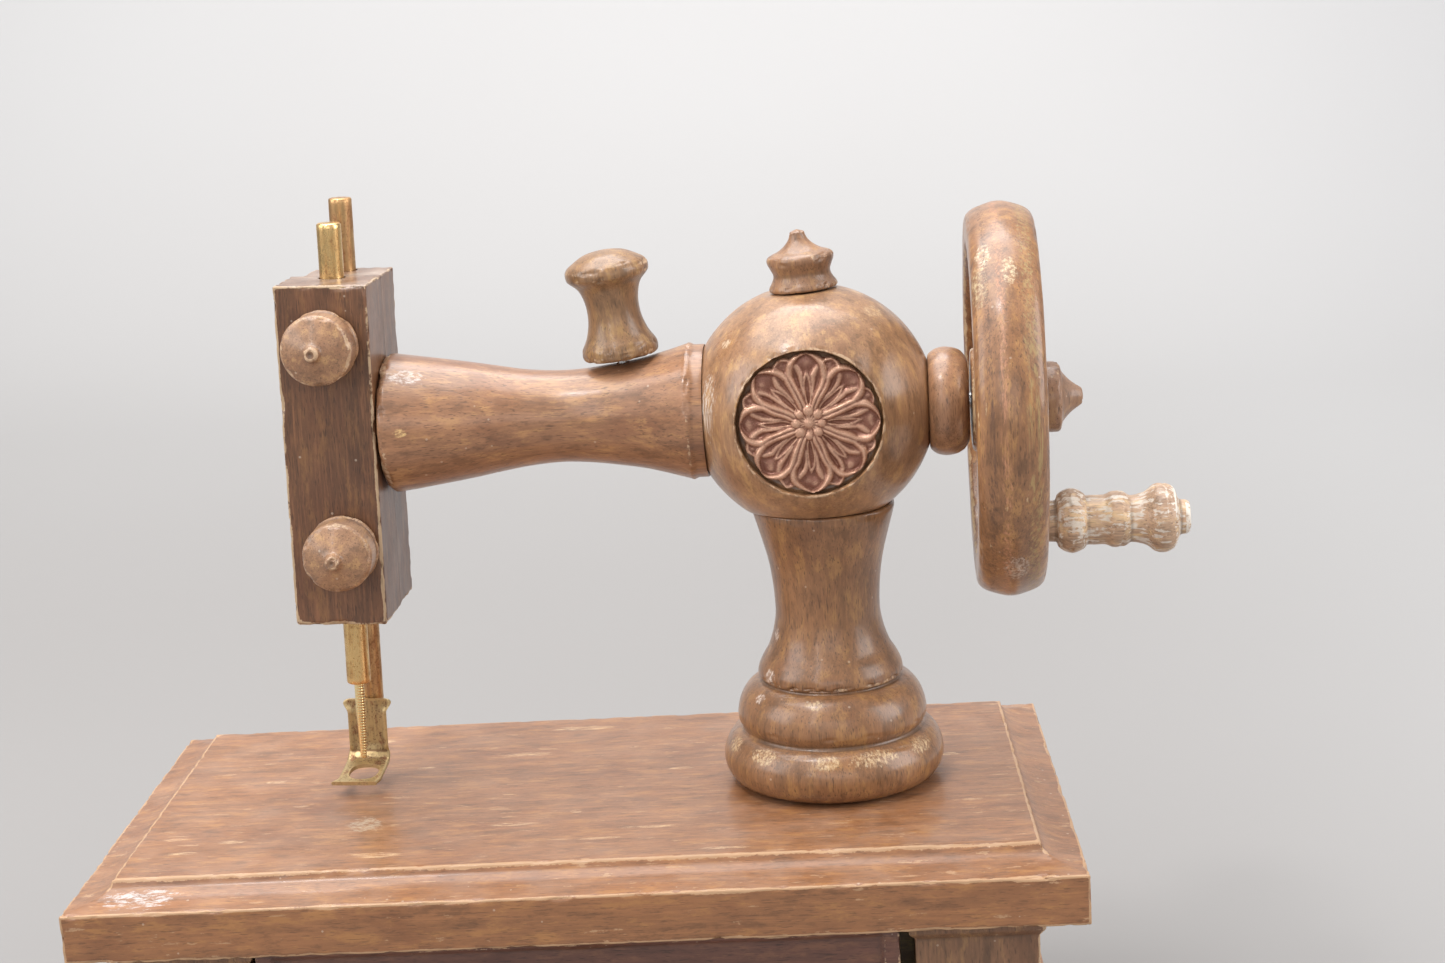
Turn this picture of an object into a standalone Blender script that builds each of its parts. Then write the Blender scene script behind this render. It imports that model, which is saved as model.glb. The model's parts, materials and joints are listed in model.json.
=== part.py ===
"""Hand crank music box: a wooden toy sewing machine on a cabinet with a drawer.

Turning the hand wheel turns a shaft through the arm and, by a bevel pair in the
ball, a second shaft down the column, which drives a pinned-cylinder movement.
Units are metres, +Z is up, the origin is the centre of the cabinet's underside.
"""
import math

import bmesh
import bpy
from mathutils import Matrix, Vector

# ---------------------------------------------------------------- driving sizes
GAP = 0.0003                 # free space between pieces that touch

BOARD_WIDTH = 0.229
BOARD_DEPTH = 0.120
BOARD_EDGE = 0.0118          # height of the top board's vertical edge
FIELD_INSET = 0.0101         # raised field of the top board
FIELD_RISE = 0.0045
CABINET_HEIGHT = 0.076       # floor to the top of the board's edge
BASE_THICKNESS = 0.010
CARCASS_INSET = 0.0085       # overhang of the boards, front and back
PANEL = 0.005                # thickness of the carcass panels
POST_WIDTH = 0.0312
POST_DEPTH = 0.012
POST_OUTSIDE = 0.1056        # outer side of a post's capital from the centre
CAPITAL_RISE = 0.0052
CAPITAL_PROUD = 0.0015
DRAWER_FRONT = 0.008
DRAWER_WALL = 0.003
DRAWER_FRONT_WIDTH = 0.1465
DRAWER_SHIFT = -0.0008       # the drawer front sits a little to the left

COLUMN_X = 0.060             # column axis, in the middle of the board's depth
HEAD_TURN = math.radians(-2.5)   # the whole head is turned on the column
HEAD_LEAN = math.radians(1.4)    # the end block leans a little at the arm
AXIS_RISE = 0.0958           # main shaft above the board's edge
BALL_R = 0.0291
BALL_X = -0.0015             # the ball is turned a little off the column's axis
BALL_FLAT = 0.0232           # flat underside of the ball below its centre
BALL_CROWN = 0.0278          # flat seat of the finial above the ball's centre
RECESS_R = 0.0167
RECESS_RISE = 0.0005         # medallion recess above the ball's centre
RECESS_FLOOR = 0.0205        # medallion recess floor in front of the ball's centre
GEAR_ROOM_R = 0.0125         # hollow in the ball for the bevel pair
TENON_R = 0.0087             # spigot of the arm in the ball
TENON_END = -0.0179
ARM_END_X = -0.1021
BLOCK_X = -0.1139
BLOCK_RISE = 0.0910
BLOCK_SIZE = (0.0219, 0.0310, 0.0812)
BLOCK_SEAM_Y = 0.0011        # joint between the block's two halves
BUTTON_R = 0.0083
NEEDLE_Y = -0.0020
PRESSER_Y = 0.0110
NEEDLE_BAR_R = 0.0029
PRESSER_BAR_R = 0.0028
WHEEL_X = 0.0434
WHEEL_R = 0.0462
WHEEL_FACE_R = 0.0436
WHEEL_HALF = 0.0079
CRANK_R = 0.0300             # grip axis from the wheel axis
SPOOL_X = -0.0443
SPOOL_FOOT = 0.0138          # underside of the spool above the arm's axis
SPOOL_LEAN = math.radians(-6.5)
FINIAL_LEAN = math.radians(-4.5)

SHAFT_R = 0.0020
SHAFT_CLEARANCE = 0.0008     # free bore around the shaft inside the wood
SCREW_SPREAD = 0.0140        # column screws in front of and behind its axis
STROKE_R = 0.0050            # throw of the crank disc in the end block
BEVEL_TEETH = 12
BEVEL_PITCH_R = 0.0068
BEVEL_FACE = 0.0026
BEVEL_BACK = 0.0022          # hub behind the bevel teeth
PINION_TEETH = 8
CYLINDER_TEETH = 32
GEAR_MODULE = 0.0011
GEAR_THICKNESS = 0.003
CYLINDER_R = 0.0065
ARBOR_R = 0.0015
COMB_TEETH = 18
COMB_PITCH = 0.0016

# ---------------------------------------------------------------- derived places
BOARD_TOP = CABINET_HEIGHT
FIELD_TOP = BOARD_TOP + FIELD_RISE
BOARD_UNDER = BOARD_TOP - BOARD_EDGE
AXIS_Z = BOARD_TOP + AXIS_RISE
FRONT_Y = -BOARD_DEPTH / 2 + CARCASS_INSET
BACK_Y = BOARD_DEPTH / 2 - CARCASS_INSET
POST_INSIDE = POST_OUTSIDE - POST_WIDTH
SIDE_X = POST_OUTSIDE - CAPITAL_PROUD - PANEL / 2
PARTITION_Y = -0.0078
PARTITION = 0.003
GEAR_DISTANCE = GEAR_MODULE * (PINION_TEETH + CYLINDER_TEETH) / 2
GEAR_Z = BOARD_UNDER - 0.0065
BEDPLATE = 0.003
BEDPLATE_Y = BACK_Y - PANEL - GAP - BEDPLATE / 2
BEDPLATE_Z0 = BASE_THICKNESS + 0.004
BEDPLATE_Z1 = GEAR_Z - 0.004
COMB_X1 = COLUMN_X - CYLINDER_R - 0.0005
COMB_X0 = COMB_X1 - 0.024
COMB_Z = (BEDPLATE_Z0 + BEDPLATE_Z1) / 2

for old in list(bpy.data.objects):
    bpy.data.objects.remove(old)


# ---------------------------------------------------------------- materials
def material(name, colour, roughness, metallic=0.0):
    made = bpy.data.materials.new(name)
    made.use_nodes = True
    shader = made.node_tree.nodes["Principled BSDF"]
    shader.inputs["Base Color"].default_value = (*colour, 1.0)
    shader.inputs["Roughness"].default_value = roughness
    shader.inputs["Metallic"].default_value = metallic
    made.diffuse_color = (*colour, 1.0)
    return made


WALNUT = ("walnut_stain", (0.26, 0.125, 0.055), 0.42)
DARK = ("dark_stain", (0.13, 0.062, 0.038), 0.45)
RED = ("red_stain", (0.16, 0.055, 0.032), 0.45)
PALE = ("worn_pale_wood", (0.46, 0.31, 0.19), 0.6)
RAW = ("raw_wood", (0.50, 0.36, 0.22), 0.7)
COPPER = ("stamped_copper", (0.30, 0.12, 0.075), 0.35, 0.6)
BRASS = ("tarnished_brass", (0.55, 0.38, 0.14), 0.38, 0.9)
OLD_BRASS = ("dark_brass", (0.30, 0.22, 0.11), 0.5, 0.8)
STEEL = ("steel", (0.45, 0.45, 0.46), 0.35, 1.0)


# ---------------------------------------------------------------- placing
def frame(name, location, rotation=(0.0, 0.0, 0.0), parent=None):
    empty = bpy.data.objects.new(name, None)
    empty.location = location
    empty.rotation_euler = rotation
    empty.parent = parent
    bpy.context.collection.objects.link(empty)
    return empty


def place(name, bm, finish, parent=None, location=(0, 0, 0), rotation=(0, 0, 0), smooth=None):
    mesh = bpy.data.meshes.new(name)
    bmesh.ops.recalc_face_normals(bm, faces=bm.faces)
    bm.to_mesh(mesh)
    bm.free()
    if smooth:
        mesh.shade_smooth()
        mesh.set_sharp_from_angle(angle=math.radians(smooth))
    placed = bpy.data.objects.new(name, mesh)
    placed.parent = parent
    placed.location = location
    placed.rotation_euler = rotation
    bpy.context.collection.objects.link(placed)
    if finish:
        mesh.materials.append(material(name + "_" + finish[0], *finish[1:]))
    return placed


def bevel(piece, width, segments=1):
    rounding = piece.modifiers.new("edges", "BEVEL")
    rounding.width = width
    rounding.segments = segments
    rounding.limit_method = "ANGLE"
    rounding.angle_limit = math.radians(40)
    return piece


def combine(piece, other_bm, operation, location=(0, 0, 0), rotation=(0, 0, 0)):
    """Cut away (or add) a second shape given in the piece's parent frame."""
    other = place(piece.name + "_guide", other_bm, None, piece.parent, location, rotation)
    other.hide_render = True
    other.display_type = "WIRE"
    change = piece.modifiers.new("shape", "BOOLEAN")
    change.operation = operation
    change.solver = "EXACT"
    change.object = other
    return piece


def cut(piece, other_bm, location=(0, 0, 0), rotation=(0, 0, 0)):
    return combine(piece, other_bm, "DIFFERENCE", location, rotation)


# ---------------------------------------------------------------- shapes
def box(size):
    bm = bmesh.new()
    bmesh.ops.create_cube(bm, size=1.0)
    bmesh.ops.scale(bm, vec=Vector(size), verts=bm.verts)
    return bm


def span_box(low, high):
    """A box from its lowest to its highest corner."""
    bm = box([b - a for a, b in zip(low, high)])
    middle = [(a + b) / 2 for a, b in zip(low, high)]
    bmesh.ops.translate(bm, vec=Vector(middle), verts=bm.verts)
    return bm


def along(bm, axis):
    """Turn a shape made about +Z so that its axis points along axis."""
    turn = Vector((0, 0, 1)).rotation_difference(Vector(axis)).to_matrix()
    bmesh.ops.rotate(bm, cent=(0, 0, 0), matrix=turn, verts=bm.verts)
    return bm


def turned(profile, segments=32, axis=(0, 0, 1)):
    """Spin (radius, height) points; an end at radius 0 closes on the axis."""
    bm = bmesh.new()
    points = [bm.verts.new((r, 0.0, z)) for r, z in profile]
    edges = [bm.edges.new(pair) for pair in zip(points, points[1:])]
    if profile[0][0] > 0 and profile[-1][0] > 0:
        edges.append(bm.edges.new((points[-1], points[0])))
    bmesh.ops.spin(bm, geom=points + edges, cent=(0, 0, 0), axis=(0, 0, 1),
                   angle=2 * math.pi, steps=segments)
    bmesh.ops.remove_doubles(bm, verts=bm.verts, dist=1e-6)
    return along(bm, axis)


def rod(radius, start, end, segments=16, axis=(0, 0, 1)):
    return turned([(0, start), (radius, start), (radius, end), (0, end)], segments, axis)


def tube(bore, radius, start, end, segments=20, axis=(0, 0, 1)):
    return turned([(bore, start), (radius, start), (radius, end), (bore, end)], segments, axis)


def curve(points, steps):
    """Points of a smooth (Catmull-Rom) curve through the given points."""
    path = [points[0]] + list(points) + [points[-1]]
    made = []
    for a, b, c, d in zip(path, path[1:], path[2:], path[3:]):
        for i in range(steps):
            t = i / steps
            made.append(tuple(0.5 * (2 * q + (r - p) * t + (2 * p - 5 * q + 4 * r - s) * t * t
                                     + (3 * q - p - 3 * r + s) * t ** 3)
                              for p, q, r, s in zip(a, b, c, d)))
    made.append(tuple(points[-1]))
    return made


def arc(centre, radius, start, end, steps):
    """Points of a circular arc in (radius, height), angles in degrees from +r."""
    made = []
    for i in range(steps + 1):
        angle = math.radians(start + (end - start) * i / steps)
        made.append((centre[0] + radius * math.cos(angle), centre[1] + radius * math.sin(angle)))
    return made


def moulded(width, depth, steps):
    """A rectangular slab whose edge follows (inset, height) steps, bottom to top."""
    bm = bmesh.new()
    rings = []
    for inset, z in steps:
        x = width / 2 - inset
        y = depth / 2 - inset
        rings.append([bm.verts.new(p) for p in ((-x, -y, z), (x, -y, z), (x, y, z), (-x, y, z))])
    bm.faces.new(reversed(rings[0]))
    for low, high in zip(rings, rings[1:]):
        for i in range(4):
            j = (i + 1) % 4
            bm.faces.new((low[i], low[j], high[j], high[i]))
    bm.faces.new(rings[-1])
    return bm


def prism(outline, height):
    """Extrude an outline of (x, y) points from z = 0 upwards."""
    bm = bmesh.new()
    base = bm.faces.new([bm.verts.new((x, y, 0.0)) for x, y in outline])
    top = bmesh.ops.extrude_face_region(bm, geom=[base])["geom"]
    lifted = [v for v in top if isinstance(v, bmesh.types.BMVert)]
    bmesh.ops.translate(bm, vec=(0, 0, height), verts=lifted)
    return bm


def tooth_ring(teeth, phase):
    """(angle, height) corners of one gear ring; height runs from -1 root to +1 tip."""
    pitch = 2 * math.pi / teeth
    corners = []
    for i in range(teeth):
        middle = (i + phase) * pitch
        for side, level in ((-0.32, -1), (-0.11, 1), (0.11, 1), (0.32, -1)):
            corners.append((middle + side * pitch, level))
    return corners


def spur_gear(teeth, module, thickness, phase):
    pitch_r = teeth * module / 2
    outline = []
    for angle, level in tooth_ring(teeth, phase):
        r = pitch_r + (0.82 * module if level > 0 else -1.1 * module)
        outline.append((r * math.cos(angle), r * math.sin(angle)))
    return prism(outline, thickness)


def bevel_gear(phase):
    """A 45 degree bevel gear about +Z with its apex at the origin, teeth facing down."""
    tall = 0.75 * 2 * BEVEL_PITCH_R / BEVEL_TEETH / math.sqrt(2)
    inner = (BEVEL_PITCH_R - BEVEL_FACE) / BEVEL_PITCH_R
    corners = tooth_ring(BEVEL_TEETH, phase)
    back = BEVEL_PITCH_R + BEVEL_BACK
    bm = bmesh.new()

    def ring(make):
        return [bm.verts.new(make(angle, level)) for angle, level in corners]

    def at(r, angle, z):
        return (r * math.cos(angle), r * math.sin(angle), z)

    rings = [
        ring(lambda a, h: at(SHAFT_R + GAP, a, BEVEL_PITCH_R * inner + tall)),
        ring(lambda a, h: at((BEVEL_PITCH_R + h * tall) * inner, a,
                             (BEVEL_PITCH_R - h * tall) * inner)),
        ring(lambda a, h: at(BEVEL_PITCH_R + h * tall, a, BEVEL_PITCH_R - h * tall)),
        ring(lambda a, h: at(BEVEL_PITCH_R - 1.3 * tall, a, back)),
        ring(lambda a, h: at(SHAFT_R + GAP, a, back)),
    ]
    for low, high in zip(rings, rings[1:] + rings[:1]):
        for i in range(len(corners)):
            j = (i + 1) % len(corners)
            bm.faces.new((low[i], low[j], high[j], high[i]))
    return bm


def plate_strip(path, width, thickness):
    """A bent plate: a (y, z) centre line given a thickness, width along X."""
    bm = bmesh.new()
    sides = ([], [])
    for i, (y, z) in enumerate(path):
        before = Vector(path[max(i - 1, 0)])
        after = Vector(path[min(i + 1, len(path) - 1)])
        direction = (after - before).normalized()
        normal = Vector((-direction.y, direction.x)) * thickness / 2
        sides[0].append((y + normal.x, z + normal.y))
        sides[1].append((y - normal.x, z - normal.y))
    outline = sides[0] + sides[1][::-1]
    face = bm.faces.new([bm.verts.new((-width / 2, y, z)) for y, z in outline])
    grown = bmesh.ops.extrude_face_region(bm, geom=[face])["geom"]
    moved = [v for v in grown if isinstance(v, bmesh.types.BMVert)]
    bmesh.ops.translate(bm, vec=(width, 0, 0), verts=moved)
    return bm


def wood_screw(head_r, head, shank_r, length, segments=12):
    """A screw whose head top is at z = 0, pointing down."""
    slot = 0.0004
    outline = [(0, -slot), (head_r * 0.3, 0), (head_r * 0.8, 0), (head_r, -head * 0.5), (head_r, -head),
               (shank_r, -head), (shank_r, -length + shank_r), (0, -length)]
    return turned(outline, segments)


# ---------------------------------------------------------------- cabinet
def build_cabinet():
    edge = 0.0008
    board_steps = [(edge, BOARD_UNDER), (0, BOARD_UNDER + edge), (0, BOARD_TOP - edge), (edge, BOARD_TOP)]
    cove = curve([(0.0024, 0.0003), (0.0052, 0.0008), (0.0078, 0.0017), (FIELD_INSET - 0.0006, 0.0030)], 2)
    board_steps += [(inset, BOARD_TOP + rise) for inset, rise in cove]
    board_steps += [(FIELD_INSET - 0.0004, FIELD_TOP - 0.0004), (FIELD_INSET, FIELD_TOP)]
    board = place("top_board", moulded(BOARD_WIDTH, BOARD_DEPTH, board_steps), WALNUT)
    cut(board, rod(0.0035, BOARD_UNDER - 0.01, FIELD_TOP + 0.01), (COLUMN_X, 0, 0))
    for side in (-1, 1):
        cut(board, rod(0.0016, BOARD_UNDER - 0.01, FIELD_TOP + 0.01, 12), (COLUMN_X, side * SCREW_SPREAD, 0))

    top = BASE_THICKNESS
    base_steps = [(0.0010, 0), (0, 0.0010), (0, top - 0.0050)]
    lip = curve([(0, top - 0.0045), (0.0008, top - 0.0020), (0.0034, top - 0.0004), (0.0045, top)], 2)
    base_steps += [(0.0015 + inset, z) for inset, z in lip]
    base = place("base_board", moulded(BOARD_WIDTH, BOARD_DEPTH, base_steps), WALNUT)
    cut(base, rod(0.0040, top - 0.005, top + 0.005), (COLUMN_X, 0, 0))
    bush = tube(SHAFT_R + GAP, 0.0037, top - 0.0045, top + 0.001, 16)
    place("floor_bush", bush, BRASS, None, (COLUMN_X, 0, 0), smooth=40)

    foot = BASE_THICKNESS + GAP
    head = BOARD_UNDER - GAP
    cap = CAPITAL_RISE
    proud = CAPITAL_PROUD
    post_steps = [(0.0004, foot), (0, foot + 0.0004), (0, foot + cap - 0.0012), (0.0006, foot + cap - 0.0004),
                  (proud, foot + cap + 0.0006), (proud, head - cap - 0.0006), (0.0006, head - cap + 0.0004),
                  (0, head - cap + 0.0012), (0, head - 0.0004), (0.0004, head)]
    for side, word in ((-1, "left"), (1, "right")):
        place("front_post_" + word, moulded(POST_WIDTH, POST_DEPTH, post_steps), WALNUT, None,
              (side * (POST_OUTSIDE - POST_WIDTH / 2), FRONT_Y + POST_DEPTH / 2, 0))
        y0 = FRONT_Y + POST_DEPTH + GAP
        y1 = BACK_Y - PANEL - GAP
        bevel(place("side_panel_" + word, box((PANEL, y1 - y0, head - foot)), WALNUT, None,
                    (side * SIDE_X, (y0 + y1) / 2, (head + foot) / 2)), 0.0004)
    bevel(place("back_panel", box((2 * (SIDE_X + PANEL / 2), PANEL, head - foot)), WALNUT, None,
                (0, BACK_Y - PANEL / 2, (head + foot) / 2)), 0.0004)
    bevel(place("partition_board", box((2 * (SIDE_X - PANEL / 2 - GAP), PARTITION, head - foot)), RAW, None,
                (0, PARTITION_Y, (head + foot) / 2)), 0.0003)


def build_drawer():
    bottom = BASE_THICKNESS + 2 * GAP
    top = BOARD_UNDER - 2 * GAP
    middle = (bottom + top) / 2
    front = frame("drawer_frame", (DRAWER_SHIFT, FRONT_Y, 0))
    rim = [(0, 0), (0, DRAWER_FRONT - 0.0006), (0.0006, DRAWER_FRONT), (0.0035, DRAWER_FRONT),
           (0.0048, DRAWER_FRONT - 0.0012), (0.0062, DRAWER_FRONT - 0.0012)]
    face = place("drawer_front", moulded(DRAWER_FRONT_WIDTH, top - bottom, rim), RED, front,
                 (0, DRAWER_FRONT + 0.0006, middle), (math.pi / 2, 0, 0))
    hole = rod(0.0012, -0.02, 0.02, 12, (0, 1, 0))
    cut(face, hole, (0, DRAWER_FRONT / 2, middle))
    y0 = DRAWER_FRONT + 0.0006 + GAP
    y1 = PARTITION_Y - PARTITION / 2 - FRONT_Y - 2 * GAP
    inside = POST_INSIDE - 0.0040
    wall_top = top - 0.006
    size_z = wall_top - bottom
    for side, word in ((-1, "left"), (1, "right")):
        bevel(place("drawer_side_" + word, box((DRAWER_WALL, y1 - y0, size_z)), RAW, front,
                    (side * (inside - DRAWER_WALL / 2), (y0 + y1) / 2, bottom + size_z / 2)), 0.0003)
    inner = 2 * (inside - DRAWER_WALL - GAP)
    bevel(place("drawer_back", box((inner, DRAWER_WALL, size_z)), RAW, front,
                (0, y1 - DRAWER_WALL / 2, bottom + size_z / 2)), 0.0003)
    floor_depth = y1 - DRAWER_WALL - GAP - y0
    place("drawer_bottom", box((inner, floor_depth, 0.0025)), RAW, front,
          (0, y0 + floor_depth / 2, bottom + 0.0025))
    knob = [(0, 0.0060), (0.0015, 0.0060), (0.0015, 0), (0.0042, 0), (0.0038, 0.0022), (0.0032, 0.0040)]
    knob += [(0.0062, 0.0068), (0.0076, 0.0095), (0.0066, 0.0124), (0.0036, 0.0138), (0, 0.0141)]
    seat = DRAWER_FRONT + 0.0006 - (DRAWER_FRONT - 0.0012)
    place("drawer_knob", turned(knob, 24, (0, -1, 0)), WALNUT, front, (0, seat - GAP, middle), smooth=45)
    screw = wood_screw(0.0024, 0.0012, 0.0009, 0.0129)
    place("drawer_knob_screw", along(screw, (0, 1, 0)), STEEL, front,
          (0, DRAWER_FRONT + 0.0006 + GAP + 0.0012, middle), smooth=40)


# ---------------------------------------------------------------- column, ball and arm
def build_column(head):
    """The turned column, the ball on it, the medallion and the finial."""
    up = AXIS_RISE
    profile = [(0.0034, FIELD_RISE + GAP), (0.0226, FIELD_RISE + GAP)]
    profile += curve([(0.0248, 0.0060), (0.0267, 0.0113), (0.0222, 0.0178)], 2)
    profile += curve([(0.0222, 0.0184), (0.0229, 0.0206), (0.0217, 0.0260), (0.0171, 0.0299)], 2)
    profile += curve([(0.0170, 0.0302), (0.0175, 0.0318), (0.0146, 0.0380), (0.0126, 0.0480),
                      (0.0137, 0.0590), (0.0171, 0.0716)], 2)
    top = up - BALL_FLAT - GAP
    profile += [(0.0168, top), (0.0052, top), (0.0052, top - 0.0055), (0.0034, top - 0.0055)]
    outline = [(r, z - up) for r, z in profile]
    column = place("column", turned(outline, 32), WALNUT, head, smooth=30)
    for side in (-1, 1):
        spot = Matrix.Rotation(-HEAD_TURN, 3, "Z") @ Vector((0, side * SCREW_SPREAD, FIELD_RISE - up))
        cut(column, rod(0.0015, -0.002, 0.0135, 12), spot)
    bush = tube(SHAFT_R + GAP, 0.0049, -BALL_FLAT - 0.0052, -BALL_FLAT - GAP, 16)
    place("column_bush", bush, BRASS, head, smooth=40)

    rim = math.degrees(math.asin(-BALL_FLAT / BALL_R))
    ball = [(0, -BALL_FLAT)] + arc((0, 0), BALL_R, rim, 90, 14)
    ball[-1] = (0, BALL_R)
    ball_piece = place("ball_housing", turned(ball, 36), WALNUT, head, (BALL_X, 0, 0), smooth=30)
    outside = BALL_R + 0.005
    cut(ball_piece, rod(GEAR_ROOM_R, -outside, GEAR_ROOM_R - 0.001, 24))
    cut(ball_piece, rod(TENON_R + GAP, -outside, -0.004, 20, (1, 0, 0)))
    cut(ball_piece, rod(SHAFT_R + SHAFT_CLEARANCE, 0.0, outside, 16, (1, 0, 0)))
    cut(ball_piece, rod(RECESS_R, RECESS_FLOOR, outside, 36, (0, -1, 0)), (BALL_X, 0, RECESS_RISE))
    lean = frame("finial_frame", (0, 0, 0), (0, FINIAL_LEAN, 0), head)
    pin_r = 0.0025
    pin_end = BALL_CROWN - 0.0083
    cut(ball_piece, rod(pin_r + GAP, pin_end - 0.0010, outside, 16), (0, 0, 0), (0, FINIAL_LEAN, 0))
    cut(ball_piece, rod(0.5 * BALL_R, BALL_CROWN, outside, 24), (0, 0, 0), (0, FINIAL_LEAN, 0))
    finial = [(0, pin_end), (pin_r, pin_end), (pin_r, BALL_CROWN + GAP), (0.0079, BALL_CROWN + GAP)]
    finial += [(0.0081, 0.0288), (0.0072, 0.0306), (0.0067, 0.0318), (0.0070, 0.0328), (0.0078, 0.0346),
               (0.0078, 0.0358), (0.0072, 0.0366), (0.0052, 0.0373), (0.0033, 0.0385), (0.0020, 0.0400),
               (0.0018, 0.0411), (0.0012, 0.0418), (0, 0.0421)]
    place("ball_finial", turned(finial, 24), WALNUT, lean, smooth=45)
    build_medallion(head)


def build_medallion(head):
    """A pressed flower of eight petals over eight more, in the ball's recess."""
    spokes = 48
    outer = RECESS_R - 0.0006
    floor = RECESS_FLOOR + GAP
    bm = bmesh.new()
    rings = []
    for share in (1.0, 0.86, 0.6, 0.34, 0.2):
        ring = []
        for i in range(spokes):
            angle = 2 * math.pi * i / spokes
            petal = abs(math.cos(4 * angle))
            radius = outer * share * (1 - 0.07 * (1 - petal) * share)
            rise = 0.0011 + 0.0011 * petal * math.sin(math.pi * min(share + 0.1, 1.0)) + 0.0006 * (1 - share)
            ring.append(bm.verts.new((radius * math.cos(angle), radius * math.sin(angle), floor + rise)))
        rings.append(ring)
    rim = rings[0]
    base = [bm.verts.new((v.co.x, v.co.y, floor)) for v in rim]
    rings.insert(0, base)
    for low, high in zip(rings, rings[1:]):
        for i in range(spokes):
            j = (i + 1) % spokes
            bm.faces.new((low[i], low[j], high[j], high[i]))
    bm.faces.new(reversed(base))
    tip = bm.verts.new((0, 0, floor + 0.0031))
    for i in range(spokes):
        bm.faces.new((rings[-1][i], rings[-1][(i + 1) % spokes], tip))
    place("flower_medallion", along(bm, (0, -1, 0)), COPPER, head, (BALL_X, 0, RECESS_RISE), smooth=50)


def build_arm(head):
    waist = curve([(0.0167, ARM_END_X + 0.0014), (0.0143, -0.0850), (0.0116, -0.0690), (0.0111, -0.0570),
                   (0.0131, -0.0420), (0.0160, -0.0306)], 2)
    bore = 0.0034
    collar_r = 0.0158
    seat_r = BALL_R + GAP
    seat_edges = [-math.degrees(math.acos(r / seat_r)) for r in (collar_r, TENON_R)]
    profile = [(bore, ARM_END_X), (0.0158, ARM_END_X)] + waist
    profile += [(0.0163, -0.0299), (0.0162, -0.0294), (collar_r, -0.0289)]
    profile += arc((0, BALL_X), seat_r, *seat_edges, 3)
    profile += [(TENON_R, TENON_END), (bore, TENON_END)]
    arm = place("arm", turned(profile, 32, (1, 0, 0)), WALNUT, head, smooth=30)
    lean = frame("spool_frame", (SPOOL_X, 0, 0), (0, SPOOL_LEAN, 0), head)
    cut(arm, rod(0.0016, 0.0060, 0.02, 12), (SPOOL_X, 0, 0), (0, SPOOL_LEAN, 0))
    place("spool_peg", rod(0.0013, 0.0062, 0.0270, 12), STEEL, lean, smooth=40)
    spool = [(0, 0.0145), (0.0017, 0.0145), (0.0017, 0), (0.0080, 0), (0.0091, 0.0014), (0.0090, 0.0028),
             (0.0074, 0.0058), (0.0064, 0.0095), (0.0064, 0.0135), (0.0074, 0.0170), (0.0096, 0.0192),
             (0.0099, 0.0216), (0.0090, 0.0228), (0.0054, 0.0248), (0, 0.0256)]
    outline = [(r, SPOOL_FOOT + z) for r, z in spool]
    place("spool_knob", turned(outline, 28), WALNUT, lean, smooth=40)


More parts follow.
